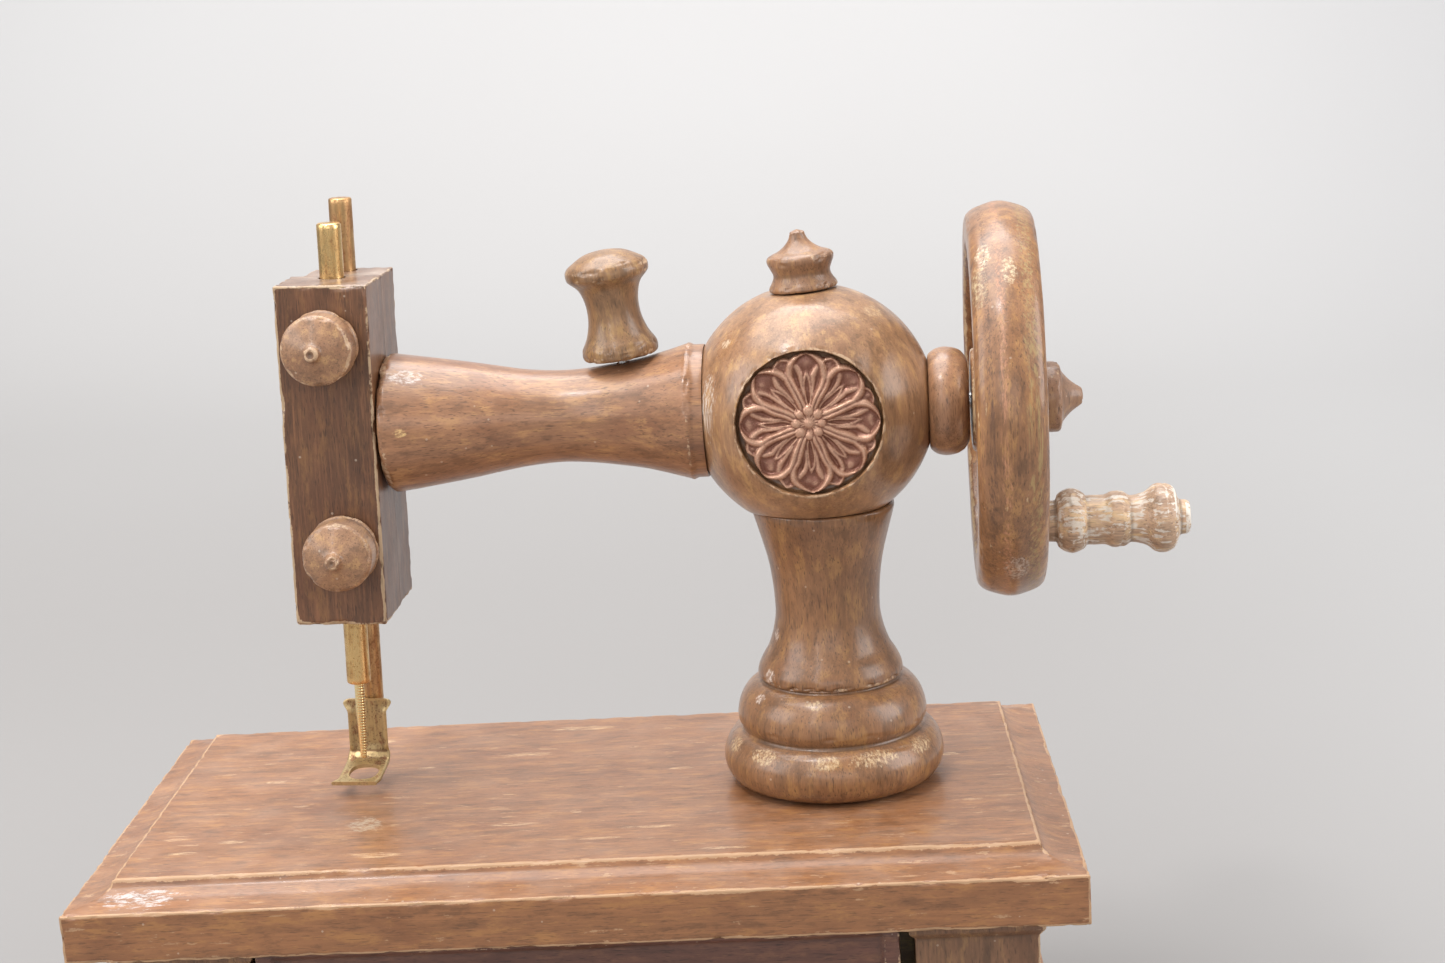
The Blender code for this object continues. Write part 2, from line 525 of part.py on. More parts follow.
# ---------------------------------------------------------------- end block and its bars
def build_block(head):
    """Two glued halves; the bars slide in the block and the crank disc turns in it."""
    drop = BLOCK_RISE - AXIS_RISE
    block = frame("block_frame", (BLOCK_X, 0, drop), (0, HEAD_LEAN, 0), head)
    wide, deep, tall = (size / 2 for size in BLOCK_SIZE)
    front = place("head_front_half", span_box((-wide, -deep, -tall), (wide, BLOCK_SEAM_Y - GAP / 2, tall)),
                  DARK, block)
    step = 0.0030
    back_body = span_box((-wide + step, BLOCK_SEAM_Y + GAP / 2, -tall), (wide, deep, tall))
    back = place("head_back_half", back_body, DARK, block)
    cut(back, span_box((-wide - 0.01, 0.0125, -0.06), (-wide + 2 * step, deep + 0.01, 0.06)))
    shaft_z = -drop
    for half in (front, back):
        bevel(half, 0.0006)
        cut(half, rod(SHAFT_R + SHAFT_CLEARANCE, -0.004, 0.02, 16, (1, 0, 0)), (0, 0, shaft_z))
        cut(half, span_box((0.0045, -0.0078, shaft_z - 0.0080), (0.0083, 0.0078, shaft_z + 0.0080)))
        cut(half, span_box((-0.0046, -0.0072, shaft_z - 0.0115), (0.0048, 0.0066, shaft_z + 0.0115)))
    cut(front, rod(NEEDLE_BAR_R + GAP, -0.06, 0.06, 16), (0, NEEDLE_Y, 0))
    cut(back, rod(PRESSER_BAR_R + GAP, -0.06, 0.06, 16), (0, PRESSER_Y, 0))

    for name, x, z in (("upper_button", 0.0002, 0.0267), ("lower_button", 0.0019, -0.0220)):
        cut(front, rod(0.0024, deep - 0.0055, deep + 0.01, 14, (0, -1, 0)), (x, 0, z))
        outline = [(0, -0.0050), (0.0021, -0.0050), (0.0021, GAP), (BUTTON_R, GAP),
                   (BUTTON_R + 0.0002, 0.0016), (BUTTON_R - 0.0004, 0.0022), (BUTTON_R, 0.0030),
                   (BUTTON_R, 0.0082), (BUTTON_R - 0.0008, 0.0090), (0.0042, 0.0106),
                   (0.0020, 0.0120), (0.0012, 0.0134), (0, 0.0137)]
        place(name, turned(outline, 24, (0, -1, 0)), DARK, block, (x, -deep, z), smooth=45)

    top = 0.1445 - BLOCK_RISE
    low = 0.0320 - BLOCK_RISE
    needle_tip = 0.0125 - BLOCK_RISE
    bars = frame("needle_frame", (0, NEEDLE_Y, 0), (0, 0, 0), block)
    chamfer = 0.0004
    bar_outline = [(0, low), (NEEDLE_BAR_R - chamfer, low), (NEEDLE_BAR_R, low + chamfer),
                   (NEEDLE_BAR_R, top - chamfer), (NEEDLE_BAR_R - chamfer, top), (0, top)]
    bar = place("needle_bar", turned(bar_outline, 20), BRASS, bars, smooth=40)
    cut(bar, rod(0.0015, low - 0.002, low + 0.0075, 12))
    needle = [(0, needle_tip), (0.0007, needle_tip), (0.0012, needle_tip + 0.0120),
              (0.0012, low + 0.0070), (0, low + 0.0070)]
    place("needle", turned(needle, 12), BRASS, bars, smooth=40)
    yoke_body = span_box((-0.0040, -0.0042, shaft_z - 0.0042), (0.0036, 0.0078, shaft_z + 0.0042))
    yoke = place("needle_yoke", yoke_body, OLD_BRASS, bars)
    cut(yoke, rod(NEEDLE_BAR_R + 0.00012, -0.06, 0.06, 20))
    cut(yoke, span_box((0.0024, -0.0039, shaft_z - 0.0016), (0.0050, 0.0074, shaft_z + 0.0016)))

    presser = frame("presser_frame", (0, PRESSER_Y, 0), (0, 0, 0), block)
    top = 0.1490 - BLOCK_RISE
    low = 0.0215 - BLOCK_RISE
    bar_outline = [(0, low), (PRESSER_BAR_R, low), (PRESSER_BAR_R, top - chamfer),
                   (PRESSER_BAR_R - chamfer, top), (0, top)]
    place("presser_bar", turned(bar_outline, 20), BRASS, presser, smooth=40)
    build_foot(presser)


def build_foot(presser):
    """Bent sheet foot: an upright in front of the bar and a sole with an oval hole."""
    sheet = 0.0010
    upright = -PRESSER_BAR_R - GAP - sheet / 2
    rise = -BLOCK_RISE
    path = [(upright, 0.0240 + rise), (upright, 0.0130 + rise)]
    path += curve([(upright - 0.0004, 0.0110 + rise), (upright - 0.0022, 0.0094 + rise),
                   (upright - 0.0048, 0.0088 + rise)], 3)
    path += [(upright - 0.0152, 0.0078 + rise)]
    width = 0.0106
    foot = place("presser_foot", plate_strip(path, width, sheet), OLD_BRASS, presser, (-0.0006, 0, 0))
    proud = 0.0001
    ears = span_box((-width / 2 - 0.0008, upright - sheet / 2 - proud, 0.0222 + rise),
                    (width / 2 + 0.0008, upright + sheet / 2 + proud, 0.0246 + rise))
    combine(foot, ears, "UNION", (-0.0006, 0, 0))
    hole = rod(0.0037, -0.01, 0.01, 20)
    bmesh.ops.scale(hole, vec=(1.0, 1.2, 1.0), verts=hole.verts)
    cut(foot, hole, (-0.0002, upright - 0.0094, 0.0085 + rise))


# ---------------------------------------------------------------- wheel and crank
def build_wheel(head):
    axle = frame("wheel_axle", (0, 0, 0), (0, 0, 0), head)
    bead_face = 0.0352
    seat_r = BALL_R + GAP
    bore = SHAFT_R + GAP
    seat_edges = [math.degrees(math.acos(r / seat_r)) for r in (bore, 0.0104)]
    bead = arc((0, BALL_X), seat_r, *seat_edges, 3)
    bead += curve([(0.0112, 0.0260), (0.0127, 0.0288), (0.0125, 0.0320), (0.0096, bead_face)], 2)
    bead += [(bore, bead_face)]
    place("bearing_bead", turned(bead, 28, (1, 0, 0)), WALNUT, head, smooth=40)

    web = 0.0040
    hub_r = 0.0130
    rim_r = 0.0350
    x0 = WHEEL_X - WHEEL_HALF
    x1 = WHEEL_X + WHEEL_HALF
    rim = [(rim_r, WHEEL_X - web), (rim_r + 0.0016, x0), (WHEEL_FACE_R - 0.0008, x0)]
    rim += curve([(WHEEL_FACE_R, x0 + 0.0008), (WHEEL_R, WHEEL_X), (WHEEL_FACE_R, x1 - 0.0008)], 2)
    rim += [(WHEEL_FACE_R - 0.0008, x1), (rim_r + 0.0016, x1), (rim_r, WHEEL_X + web)]
    hub = [(hub_r, WHEEL_X + web), (hub_r - 0.0010, x1 - 0.0010), (bore, x1 - 0.0010)]
    wheel_profile = [(bore, x0 + 0.0002), (hub_r - 0.0010, x0 + 0.0002), (hub_r, WHEEL_X - web)] + rim + hub
    wheel = place("hand_wheel", turned(wheel_profile, 44, (1, 0, 0)), WALNUT, axle, smooth=30)
    inner = hub_r + 0.0035
    outer = rim_r - 0.0006
    spread = 30
    for quarter in range(4):
        middle = 45 + 90 * quarter
        outline = [(outer * math.cos(math.radians(middle + a)), outer * math.sin(math.radians(middle + a)))
                   for a in range(-spread, spread + 1, 10)]
        outline += [(inner * math.cos(math.radians(middle + a)), inner * math.sin(math.radians(middle + a)))
                    for a in (18, 0, -18)]
        opening = prism(outline, 0.03)
        upright = Matrix.Rotation(math.pi / 2, 3, "Y")
        bmesh.ops.rotate(opening, cent=(0, 0, 0), matrix=upright, verts=opening.verts)
        cut(wheel, opening, (WHEEL_X - 0.015, 0, 0))
    cut(wheel, rod(0.0019, WHEEL_X - 0.02, WHEEL_X + 0.02, 14, (1, 0, 0)), (0, 0, -CRANK_R))

    cap = [(0, x1 + 0.0030), (SHAFT_R + GAP, x1 + 0.0030), (SHAFT_R + GAP, x1 - 0.0010 + GAP),
           (0.0080, x1 - 0.0010 + GAP), (0.0083, x1 + 0.0004), (0.0083, x1 + 0.0046)]
    cap += [(0.0074, x1 + 0.0052), (0.0058, x1 + 0.0058), (0.0036, x1 + 0.0078), (0.0022, x1 + 0.0096),
            (0.0016, x1 + 0.0103), (0, x1 + 0.0106)]
    place("hub_cap", turned(cap, 24, (1, 0, 0)), WALNUT, axle, smooth=45)

    grip_axle = frame("grip_axle", (0, 0, -CRANK_R), (0, 0, 0), axle)
    x = WHEEL_X + web + 0.0010
    end = 0.0780
    grip = [(0, end), (0.0018, end), (0.0018, x), (0.0048, x), (0.0050, 0.0548), (0.0068, 0.0558),
            (0.0078, 0.0584), (0.0070, 0.0610), (0.0059, 0.0620), (0.0060, 0.0662), (0.0067, 0.0680),
            (0.0067, 0.0704), (0.0056, 0.0722), (0.0057, 0.0734), (0.0064, 0.0758), (0.0080, 0.0780),
            (0.0083, 0.0804), (0.0073, 0.0826), (0.0042, 0.0838), (0.0040, 0.0856), (0, 0.0866)]
    place("crank_grip", turned(grip, 24, (1, 0, 0)), PALE, grip_axle, smooth=45)
    spindle = [(0, WHEEL_X - web - 0.0016), (0.0032, WHEEL_X - web - 0.0014), (0.0034, WHEEL_X - web - GAP),
               (0.0014, WHEEL_X - web - GAP), (0.0014, end - 0.0006), (0, end - 0.0006)]
    place("crank_spindle", turned(spindle, 14, (1, 0, 0)), STEEL, grip_axle, smooth=40)

    place("main_shaft", rod(SHAFT_R, BLOCK_X + 0.0068, x1 + 0.0024, 16, (1, 0, 0)), STEEL, axle, smooth=40)
    disc_x = BLOCK_X + 0.0052
    disc = place("crank_disc", rod(0.0068, disc_x, disc_x + 0.0016, 24, (1, 0, 0)), BRASS, axle, smooth=40)
    pin = rod(0.0010, disc_x - 0.0010, disc_x + 0.0008, 12, (1, 0, 0))
    combine(disc, pin, "UNION", (0, STROKE_R, 0))
    bevel_piece = bevel_gear(0.0)
    place("main_bevel_gear", along(bevel_piece, (1, 0, 0)), BRASS, axle)


# ---------------------------------------------------------------- drive down the column
def build_drive(head):
    lower = bevel_gear(0.0)
    bmesh.ops.rotate(lower, cent=(0, 0, 0), matrix=Matrix.Rotation(math.pi, 3, "X"), verts=lower.verts)
    half_tooth = math.pi / BEVEL_TEETH
    place("column_bevel_gear", lower, BRASS, head, (0, 0, 0), (0, 0, half_tooth))
    shaft = rod(SHAFT_R, BASE_THICKNESS - 0.0042, AXIS_Z - SHAFT_R - 0.0012, 16)
    place("column_shaft", shaft, STEEL, None, (COLUMN_X, 0, 0), smooth=40)
    pinion = spur_gear(PINION_TEETH, GEAR_MODULE, GEAR_THICKNESS + 0.001, 0.0)
    small = place("shaft_pinion", pinion, BRASS, None, (COLUMN_X, 0, GEAR_Z - 0.0005))
    cut(small, rod(SHAFT_R + GAP, GEAR_Z - 0.02, GEAR_Z + 0.02, 16), (COLUMN_X, 0, 0))
    big = spur_gear(CYLINDER_TEETH, GEAR_MODULE, GEAR_THICKNESS, 0.5)
    gear = place("cylinder_gear", big, BRASS, None, (COLUMN_X, GEAR_DISTANCE, GEAR_Z))
    cut(gear, rod(ARBOR_R + GAP, GEAR_Z - 0.02, GEAR_Z + 0.02, 14), (COLUMN_X, GEAR_DISTANCE, 0))


def build_movement():
    """Cast bedplate on the back panel with the cylinder and the steel comb."""
    axis = (COLUMN_X, GEAR_DISTANCE, 0)
    x0 = COMB_X0 - 0.008
    x1 = COLUMN_X + 0.012
    plate_z = (BEDPLATE_Z0 + BEDPLATE_Z1) / 2
    plate_low = (x0, BEDPLATE_Y - BEDPLATE / 2, BEDPLATE_Z0)
    plate_high = (x1, BEDPLATE_Y + BEDPLATE / 2, BEDPLATE_Z1)
    plate = place("movement_bedplate", span_box(plate_low, plate_high), OLD_BRASS)
    ear = 0.0022
    reach = GEAR_DISTANCE - 0.0055
    for z in (BEDPLATE_Z0, BEDPLATE_Z1 - ear):
        lug = span_box((COLUMN_X - 0.0060, reach, z), (COLUMN_X + 0.0060, BEDPLATE_Y, z + ear))
        combine(plate, lug, "UNION")
    comb_y = GEAR_DISTANCE
    comb_sheet = 0.0012
    heel = span_box((COMB_X0 - 0.001, comb_y + comb_sheet / 2 + GAP, COMB_Z - 0.0145),
                    (COMB_X0 + 0.0080, BEDPLATE_Y, COMB_Z + 0.0145))
    combine(plate, heel, "UNION")
    cut(plate, rod(ARBOR_R + GAP, 0.0, CABINET_HEIGHT, 14), axis)
    screw_spots = ((x0 + 0.0035, plate_z), (x1 - 0.0030, plate_z))
    for x, z in screw_spots:
        cut(plate, rod(0.0013, -0.01, 0.01, 12, (0, 1, 0)), (x, BEDPLATE_Y, z))

    length = COMB_TEETH * COMB_PITCH
    slot = 0.0002
    comb_low = (COMB_X0, comb_y - comb_sheet / 2, COMB_Z - length / 2)
    comb_high = (COMB_X1, comb_y + comb_sheet / 2, COMB_Z + length / 2)
    comb = place("music_comb", span_box(comb_low, comb_high), STEEL)
    for i in range(1, COMB_TEETH):
        z = COMB_Z - length / 2 + i * COMB_PITCH
        cut(comb, span_box((COMB_X0 + 0.0090, comb_y - 0.003, z - slot),
                           (COMB_X1 + 0.003, comb_y + 0.003, z + slot)))
    for i, side in enumerate((-1, 1)):
        spot = (COMB_X0 + 0.0036, comb_y, COMB_Z + side * 0.0085)
        cut(comb, rod(0.0012, -0.01, 0.01, 12, (0, 1, 0)), spot)
        cut(plate, rod(0.0012, -0.002, 0.0070, 12, (0, 1, 0)), spot)
        screw = wood_screw(0.0021, 0.0012, 0.0009, 0.0070)
        place("comb_screw_%d" % (i + 1), along(screw, (0, -1, 0)), STEEL, None,
              (spot[0], comb_y - comb_sheet / 2 - GAP - 0.0012, spot[2]), smooth=40)
    for i, (x, z) in enumerate(screw_spots):
        screw = wood_screw(0.0022, 0.0012, 0.0010, 0.0074)
        place("bedplate_screw_%d" % (i + 1), along(screw, (0, -1, 0)), STEEL, None,
              (x, BEDPLATE_Y - BEDPLATE / 2 - GAP - 0.0012, z), smooth=40)
    back = bpy.data.objects["back_panel"]
    for x, z in screw_spots:
        cut(back, rod(0.0013, -0.01, 0.0032, 12, (0, 1, 0)), (x, BACK_Y - PANEL, z))

    z0 = BEDPLATE_Z0 + ear + GAP
    z1 = BEDPLATE_Z1 - ear - GAP
    arbor = rod(ARBOR_R, BEDPLATE_Z0 - 0.002, GEAR_Z + GEAR_THICKNESS + 0.001, 14)
    place("cylinder_arbor", arbor, STEEL, None, axis, smooth=40)
    drum = tube(ARBOR_R + GAP, CYLINDER_R, z0, z1, 28)
    place("music_cylinder", drum, BRASS, None, axis, smooth=40)


def build_column_screws():
    for i, side in enumerate((-1, 1)):
        screw = wood_screw(0.0032, 0.0016, 0.0012, 0.0265)
        place("column_screw_%d" % (i + 1), along(screw, (0, 0, -1)), STEEL, None,
              (COLUMN_X, side * SCREW_SPREAD, BOARD_UNDER - GAP - 0.0016), smooth=40)


build_cabinet()
build_drawer()
machine = frame("machine_frame", (COLUMN_X, 0, AXIS_Z), (0, 0, HEAD_TURN))
build_column(machine)
build_arm(machine)
build_block(machine)
build_wheel(machine)
build_drive(machine)
build_movement()
build_column_screws()
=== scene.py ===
"""Looks for the hand crank music box: turned and carved wood with worn stain, tarnished brass bars.

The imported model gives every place. Local shapes are in millimetres, in frames read from its joints.
"""
import json
import math

import bmesh
import bpy
import numpy as np
from mathutils import Matrix, Vector, noise


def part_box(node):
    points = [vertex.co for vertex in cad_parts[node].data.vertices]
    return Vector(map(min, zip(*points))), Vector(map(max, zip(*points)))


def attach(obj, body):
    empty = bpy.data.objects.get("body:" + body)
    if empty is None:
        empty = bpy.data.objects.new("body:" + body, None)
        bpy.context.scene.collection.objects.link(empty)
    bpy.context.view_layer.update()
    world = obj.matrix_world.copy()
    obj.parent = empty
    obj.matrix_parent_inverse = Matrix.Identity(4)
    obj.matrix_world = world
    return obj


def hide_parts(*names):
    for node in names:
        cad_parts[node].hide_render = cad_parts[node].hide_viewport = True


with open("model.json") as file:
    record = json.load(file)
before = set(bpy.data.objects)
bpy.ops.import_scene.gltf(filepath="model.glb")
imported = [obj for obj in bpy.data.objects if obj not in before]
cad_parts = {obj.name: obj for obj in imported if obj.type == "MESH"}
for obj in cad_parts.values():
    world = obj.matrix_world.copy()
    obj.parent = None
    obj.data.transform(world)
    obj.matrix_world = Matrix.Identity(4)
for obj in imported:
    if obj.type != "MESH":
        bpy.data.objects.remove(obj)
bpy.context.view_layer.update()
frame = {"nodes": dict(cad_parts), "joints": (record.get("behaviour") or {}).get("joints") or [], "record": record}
JOINTS = {joint["name"]: joint for joint in frame["joints"]}
BODY_OF = {node: body for body, nodes in frame["record"]["behaviour"]["bodies"].items() for node in nodes}
SLOT_OF = {part["node"]: part["material_slot"] for part in frame["record"]["subparts"]}
MM = 0.001
GAP = 0.3                    # millimetres between pieces, as in the solids
TOUCH = 0.1                  # what is left open between glued pieces
UP = Vector((0, 0, 1))


# ---------------------------------------------------------------- places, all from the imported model
def axes_matrix(origin, x_axis, z_axis):
    """A frame whose Z is z_axis and whose X is as near x_axis as it can be."""
    z = Vector(z_axis).normalized()
    y = z.cross(Vector(x_axis)).normalized()
    turn = Matrix((y.cross(z), y, z)).transposed().to_4x4()
    return Matrix.Translation(origin) @ turn


def middle(*nodes):
    lows, highs = zip(*(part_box(node) for node in nodes))
    return Vector([(min(low[i] for low in lows) + max(high[i] for high in highs)) / 2 for i in range(3)])


def box_mm(node):
    return tuple(Vector(corner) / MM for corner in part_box(node))


def pointing(base, axis, origin=(0, 0, 0)):
    """A part's lathe frame: its +Z runs along axis of the base frame, from origin in millimetres."""
    turn = UP.rotation_difference(Vector(axis)).to_matrix().to_4x4()
    return base @ Matrix.Translation(Vector(origin) * MM) @ turn


WORLD = Matrix.Identity(4)
WHEEL_AXIS = Vector(JOINTS["wheel_spin"]["axis"])
COLUMN_SPOT = Vector(JOINTS["column_shaft_spin"]["pos_m"])
BALL_SPOT = Vector((COLUMN_SPOT.x, COLUMN_SPOT.y, JOINTS["wheel_spin"]["pos_m"][2]))
HEAD = axes_matrix(BALL_SPOT, WHEEL_AXIS, UP)
BAR_AXIS = Vector(JOINTS["needle_bar_slide"]["axis"])
BLOCK = axes_matrix(middle("head_front_half", "head_back_half"), WHEEL_AXIS, BAR_AXIS)
GRIP = Matrix.Translation(JOINTS["grip_spin"]["pos_m"]) @ HEAD.to_3x3().to_4x4()
SPOOL = axes_matrix(JOINTS["spool_spin"]["pos_m"], WHEEL_AXIS, JOINTS["spool_spin"]["axis"])
FINIAL = HEAD @ Matrix.Rotation(math.radians(-4.5), 4, "Y")
WHEEL_X = (HEAD.inverted() @ Vector(JOINTS["wheel_spin"]["pos_m"])).x / MM
BOARD_LOW, BOARD_HIGH = box_mm("top_board")
FIELD_TOP = BOARD_HIGH.z
FIELD_RISE = 4.5             # the board's raised field over its edge
BOARD_TOP = FIELD_TOP - FIELD_RISE
BASE_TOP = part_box("base_board")[1].z / MM
AXIS_Z = BALL_SPOT.z / MM
BALL_R, BALL_X = 29.1, -1.5
BALL_FLAT, BALL_CROWN = 23.2, 27.8
RECESS_R, RECESS_RISE, RECESS_FLOOR = 16.7, 0.5, 20.5
RECESS = pointing(HEAD, (0, -1, 0), (BALL_X, 0, RECESS_RISE))
BALL_MIDDLE = HEAD @ Vector((BALL_X * MM, 0, 0)) / MM
SPOOL_FOOT = 13.8
SEAM = 1.1


# ---------------------------------------------------------------- outlines, (radius, height) in millimetres
def arc(centre, radius, start, end, step=4):
    """Points on an arc; angles in degrees from +radius towards +height."""
    count = max(2, round(abs(end - start) / step))
    angles = [math.radians(start + (end - start) * i / count) for i in range(count + 1)]
    return [(centre[0] + radius * math.cos(a), centre[1] + radius * math.sin(a)) for a in angles]


def spline(points, steps=8):
    """Points of a smooth (Catmull-Rom) curve through the given points."""
    path = [points[0]] + list(points) + [points[-1]]
    made = []
    for a, b, c, d in zip(path, path[1:], path[2:], path[3:]):
        for i in range(steps):
            t = i / steps
            made.append(tuple(0.5 * (2 * q + (r - p) * t + (2 * p - 5 * q + 4 * r - s) * t * t
                                     + (3 * q - p - 3 * r + s) * t ** 3)
                              for p, q, r, s in zip(a, b, c, d)))
    made.append(tuple(points[-1]))
    return made


def resampled(line, step):
    fine = [line[0]]
    for a, b in zip(line, line[1:]):
        count = max(1, math.ceil(math.dist(a, b) / step))
        fine += [tuple(p + (q - p) * i / count for p, q in zip(a, b)) for i in range(1, count + 1)]
    return fine


def eased(line, rounds):
    """Corners rounded a little; both ends stay."""
    for _ in range(rounds):
        threes = zip(line, line[1:], line[2:])
        inner = [tuple((p + 2 * q + r) / 4 for p, q, r in zip(*three)) for three in threes]
        line = [line[0]] + inner + [line[-1]]
    return line


# ---------------------------------------------------------------- shapes, as bmesh in the row frame
def skin(bm, rings, loop=False):
    """Faces between rings of vertices; a ring of one vertex is a pole."""
    pairs = list(zip(rings, rings[1:])) + ([(rings[-1], rings[0])] if loop else [])
    for low, high in pairs:
        count = max(len(low), len(high))
        for i in range(count):
            j = (i + 1) % count
            corners = [low[i % len(low)], low[j % len(low)], high[j % len(high)], high[i % len(high)]]
            bm.faces.new(list(dict.fromkeys(corners)))


def turned(profile, place, segments=128, step=0.45, ease=2, wobble=None):
    """A lathe shape about place's Z. Ends on the axis close it, otherwise it is a ring or a tube."""
    line = eased(resampled(profile, step), ease)
    bm = bmesh.new()
    rings = []
    for r, z in line:
        if r < 1e-6:
            rings.append([bm.verts.new((0, 0, z))])
            continue
        ring = []
        for i in range(segments):
            angle = 2 * math.pi * i / segments
            radius = r if wobble is None else wobble(r, z, angle)
            ring.append(bm.verts.new((radius * math.cos(angle), radius * math.sin(angle), z)))
        rings.append(ring)
    skin(bm, rings, loop=profile[0][0] > 0 and profile[-1][0] > 0)
    return placed(bm, place)


def placed(bm, place):
    bmesh.ops.scale(bm, vec=(MM, MM, MM), verts=bm.verts)
    bm.transform(place)
    bmesh.ops.recalc_face_normals(bm, faces=bm.faces)
    if bm.calc_volume(signed=True) < 0:
        bmesh.ops.reverse_faces(bm, faces=bm.faces)
    return bm


def rod(radius, start, end, place, axis=(0, 0, 1), origin=(0, 0, 0), segments=64):
    line = [(0, start), (radius, start), (radius, end), (0, end)]
    return turned(line, pointing(place, axis, origin), segments, step=1000, ease=0)


def grid_lines(low, high, step, near=(0, 0.14, 0.3, 0.5, 0.8, 1.2, 1.8)):
    """Positions from low to high, close together at both ends."""
    ends = [n for n in near if n < (high - low) / 2]
    inside = (low + ends[-1], high - ends[-1])
    count = max(1, math.ceil((inside[1] - inside[0]) / step))
    even = [inside[0] + (inside[1] - inside[0]) * i / count for i in range(count + 1)]
    return [low + n for n in ends[:-1]] + even + [high - n for n in reversed(ends[:-1])]


def block(low, high, place, step=1.4, rounding=0.5, seed=0.0, lines=None):
    """A slab of fine faces whose edges are rounded unevenly, as worn wood is."""
    lines = lines or [grid_lines(a, b, step) for a, b in zip(low, high)]
    low, high = Vector(low), Vector(high)
    last = [len(line) - 1 for line in lines]
    bm = bmesh.new()
    verts = {}

    def vert(*index):
        if index not in verts:
            p = Vector(line[i] for line, i in zip(lines, index))
            chip = noise.fractal((p + Vector((seed, seed, seed))) / 5, 1.0, 2.0, 3)
            radius = min(rounding * (0.75 + 1.5 * max(0.0, chip)), min(high - low) * 0.49)
            inner = Vector(max(a + radius, min(b - radius, c)) for a, b, c in zip(low, high, p))
            away = p - inner
            if sum(abs(c) > 1e-9 for c in away) > 1:
                p = inner + away.normalized() * radius
            verts[index] = bm.verts.new(p)
        return verts[index]

    for axis in range(3):
        u, v = [a for a in range(3) if a != axis]
        for end in (0, last[axis]):
            for i in range(last[u]):
                for j in range(last[v]):
                    corners = []
                    for a, b in ((i, j), (i + 1, j), (i + 1, j + 1), (i, j + 1)):
                        index = [0, 0, 0]
                        index[axis], index[u], index[v] = end, a, b
                        corners.append(vert(*index))
                    bm.faces.new(corners)
    return placed(bm, place)


def span(low, high, place):
    """A plain box, used as a cutter."""
    bm = bmesh.new()
    bmesh.ops.create_cube(bm, size=1)
    size = Vector(high) - Vector(low)
    bmesh.ops.scale(bm, vec=size, verts=bm.verts)
    bmesh.ops.translate(bm, vec=(Vector(low) + Vector(high)) / 2, verts=bm.verts)
    return placed(bm, place)


def scratch(bm):
    mesh = bpy.data.meshes.new("scratch")
    bm.to_mesh(mesh)
    bm.free()
    made = bpy.data.objects.new("scratch", mesh)
    bpy.context.scene.collection.objects.link(made)
    return made


def carved(bm, *cutters):
    """The shape less its cutters."""
    shape = scratch(bm)
    others = [scratch(cutter) for cutter in cutters]
    for other in others:
        change = shape.modifiers.new("cut", "BOOLEAN")
        change.operation = "DIFFERENCE"
        change.solver = "EXACT"
        change.object = other
    bpy.context.view_layer.update()
    evaluated = shape.evaluated_get(bpy.context.evaluated_depsgraph_get())
    result = bmesh.new()
    result.from_mesh(evaluated.to_mesh())
    evaluated.to_mesh_clear()
    for used in [shape] + others:
        mesh = used.data
        bpy.data.objects.remove(used)
        bpy.data.meshes.remove(mesh)
    return result


def joined(shapes):
    """Shapes that stay apart, as one mesh."""
    whole = bmesh.new()
    for shape in shapes:
        mesh = bpy.data.meshes.new("scratch")
        shape.to_mesh(mesh)
        shape.free()
        whole.from_mesh(mesh)
        bpy.data.meshes.remove(mesh)
    return whole


# ---------------------------------------------------------------- wear, from the shape itself
def array_of(collection, key, width, kind=np.float64):
    values = np.zeros(len(collection) * width, kind)
    collection.foreach_get(key, values)
    return values.reshape(-1, width) if width > 1 else values


def bends(mesh):
    """How much the surface bends at each vertex, per millimetre: above 0 on an outer edge."""
    spots = array_of(mesh.vertices, "co", 3)
    ends = array_of(mesh.edges, "vertices", 2, np.int32)
    normals = array_of(mesh.polygons, "normal", 3)
    centres = array_of(mesh.polygons, "center", 3)
    areas = array_of(mesh.polygons, "area", 1)
    sizes = array_of(mesh.polygons, "loop_total", 1, np.int32)
    loop_edges = array_of(mesh.loops, "edge_index", 1, np.int32)
    loop_verts = array_of(mesh.loops, "vertex_index", 1, np.int32)
    loop_faces = np.repeat(np.arange(len(sizes)), sizes)
    order = np.argsort(loop_edges, kind="stable")
    shared = np.nonzero(np.diff(loop_edges[order]) == 0)[0]
    edges = loop_edges[order][shared]
    one = loop_faces[order][shared]
    two = loop_faces[order][shared + 1]
    angle = np.arccos(np.clip((normals[one] * normals[two]).sum(1), -1, 1))
    outward = np.where((normals[one] * (centres[two] - centres[one])).sum(1) < 0, 1.0, -1.0)
    length = np.linalg.norm(spots[ends[edges, 0]] - spots[ends[edges, 1]], axis=1)
    bend = np.zeros(len(spots))
    for side in (0, 1):
        np.add.at(bend, ends[edges, side], angle * outward * length / 2)
    cell = np.zeros(len(spots))
    np.add.at(cell, loop_verts, areas[loop_faces] / sizes[loop_faces])
    bend = bend / np.maximum(cell, 1e-9) * MM
    for _ in range(2):
        total = bend.copy()
        count = np.ones(len(spots))
        for a, b in ((0, 1), (1, 0)):
            np.add.at(total, ends[:, a], bend[ends[:, b]])
            np.add.at(count, ends[:, a], 1)
        bend = total / count
    return bend


def smooth_step(low, high, value):
    t = np.clip((value - low) / (high - low), 0, 1)
    return t * t * (3 - 2 * t)


def off_ball(p):
    """0 on the ball's surface, 1 a little way off, so that seams at the ball stay crisp."""
    return float(smooth_step(0.4, 1.8, (p - BALL_MIDDLE).length - BALL_R))


def above_flat(p):
    return float(smooth_step(0.2, 1.6, p.z - AXIS_Z + BALL_FLAT))


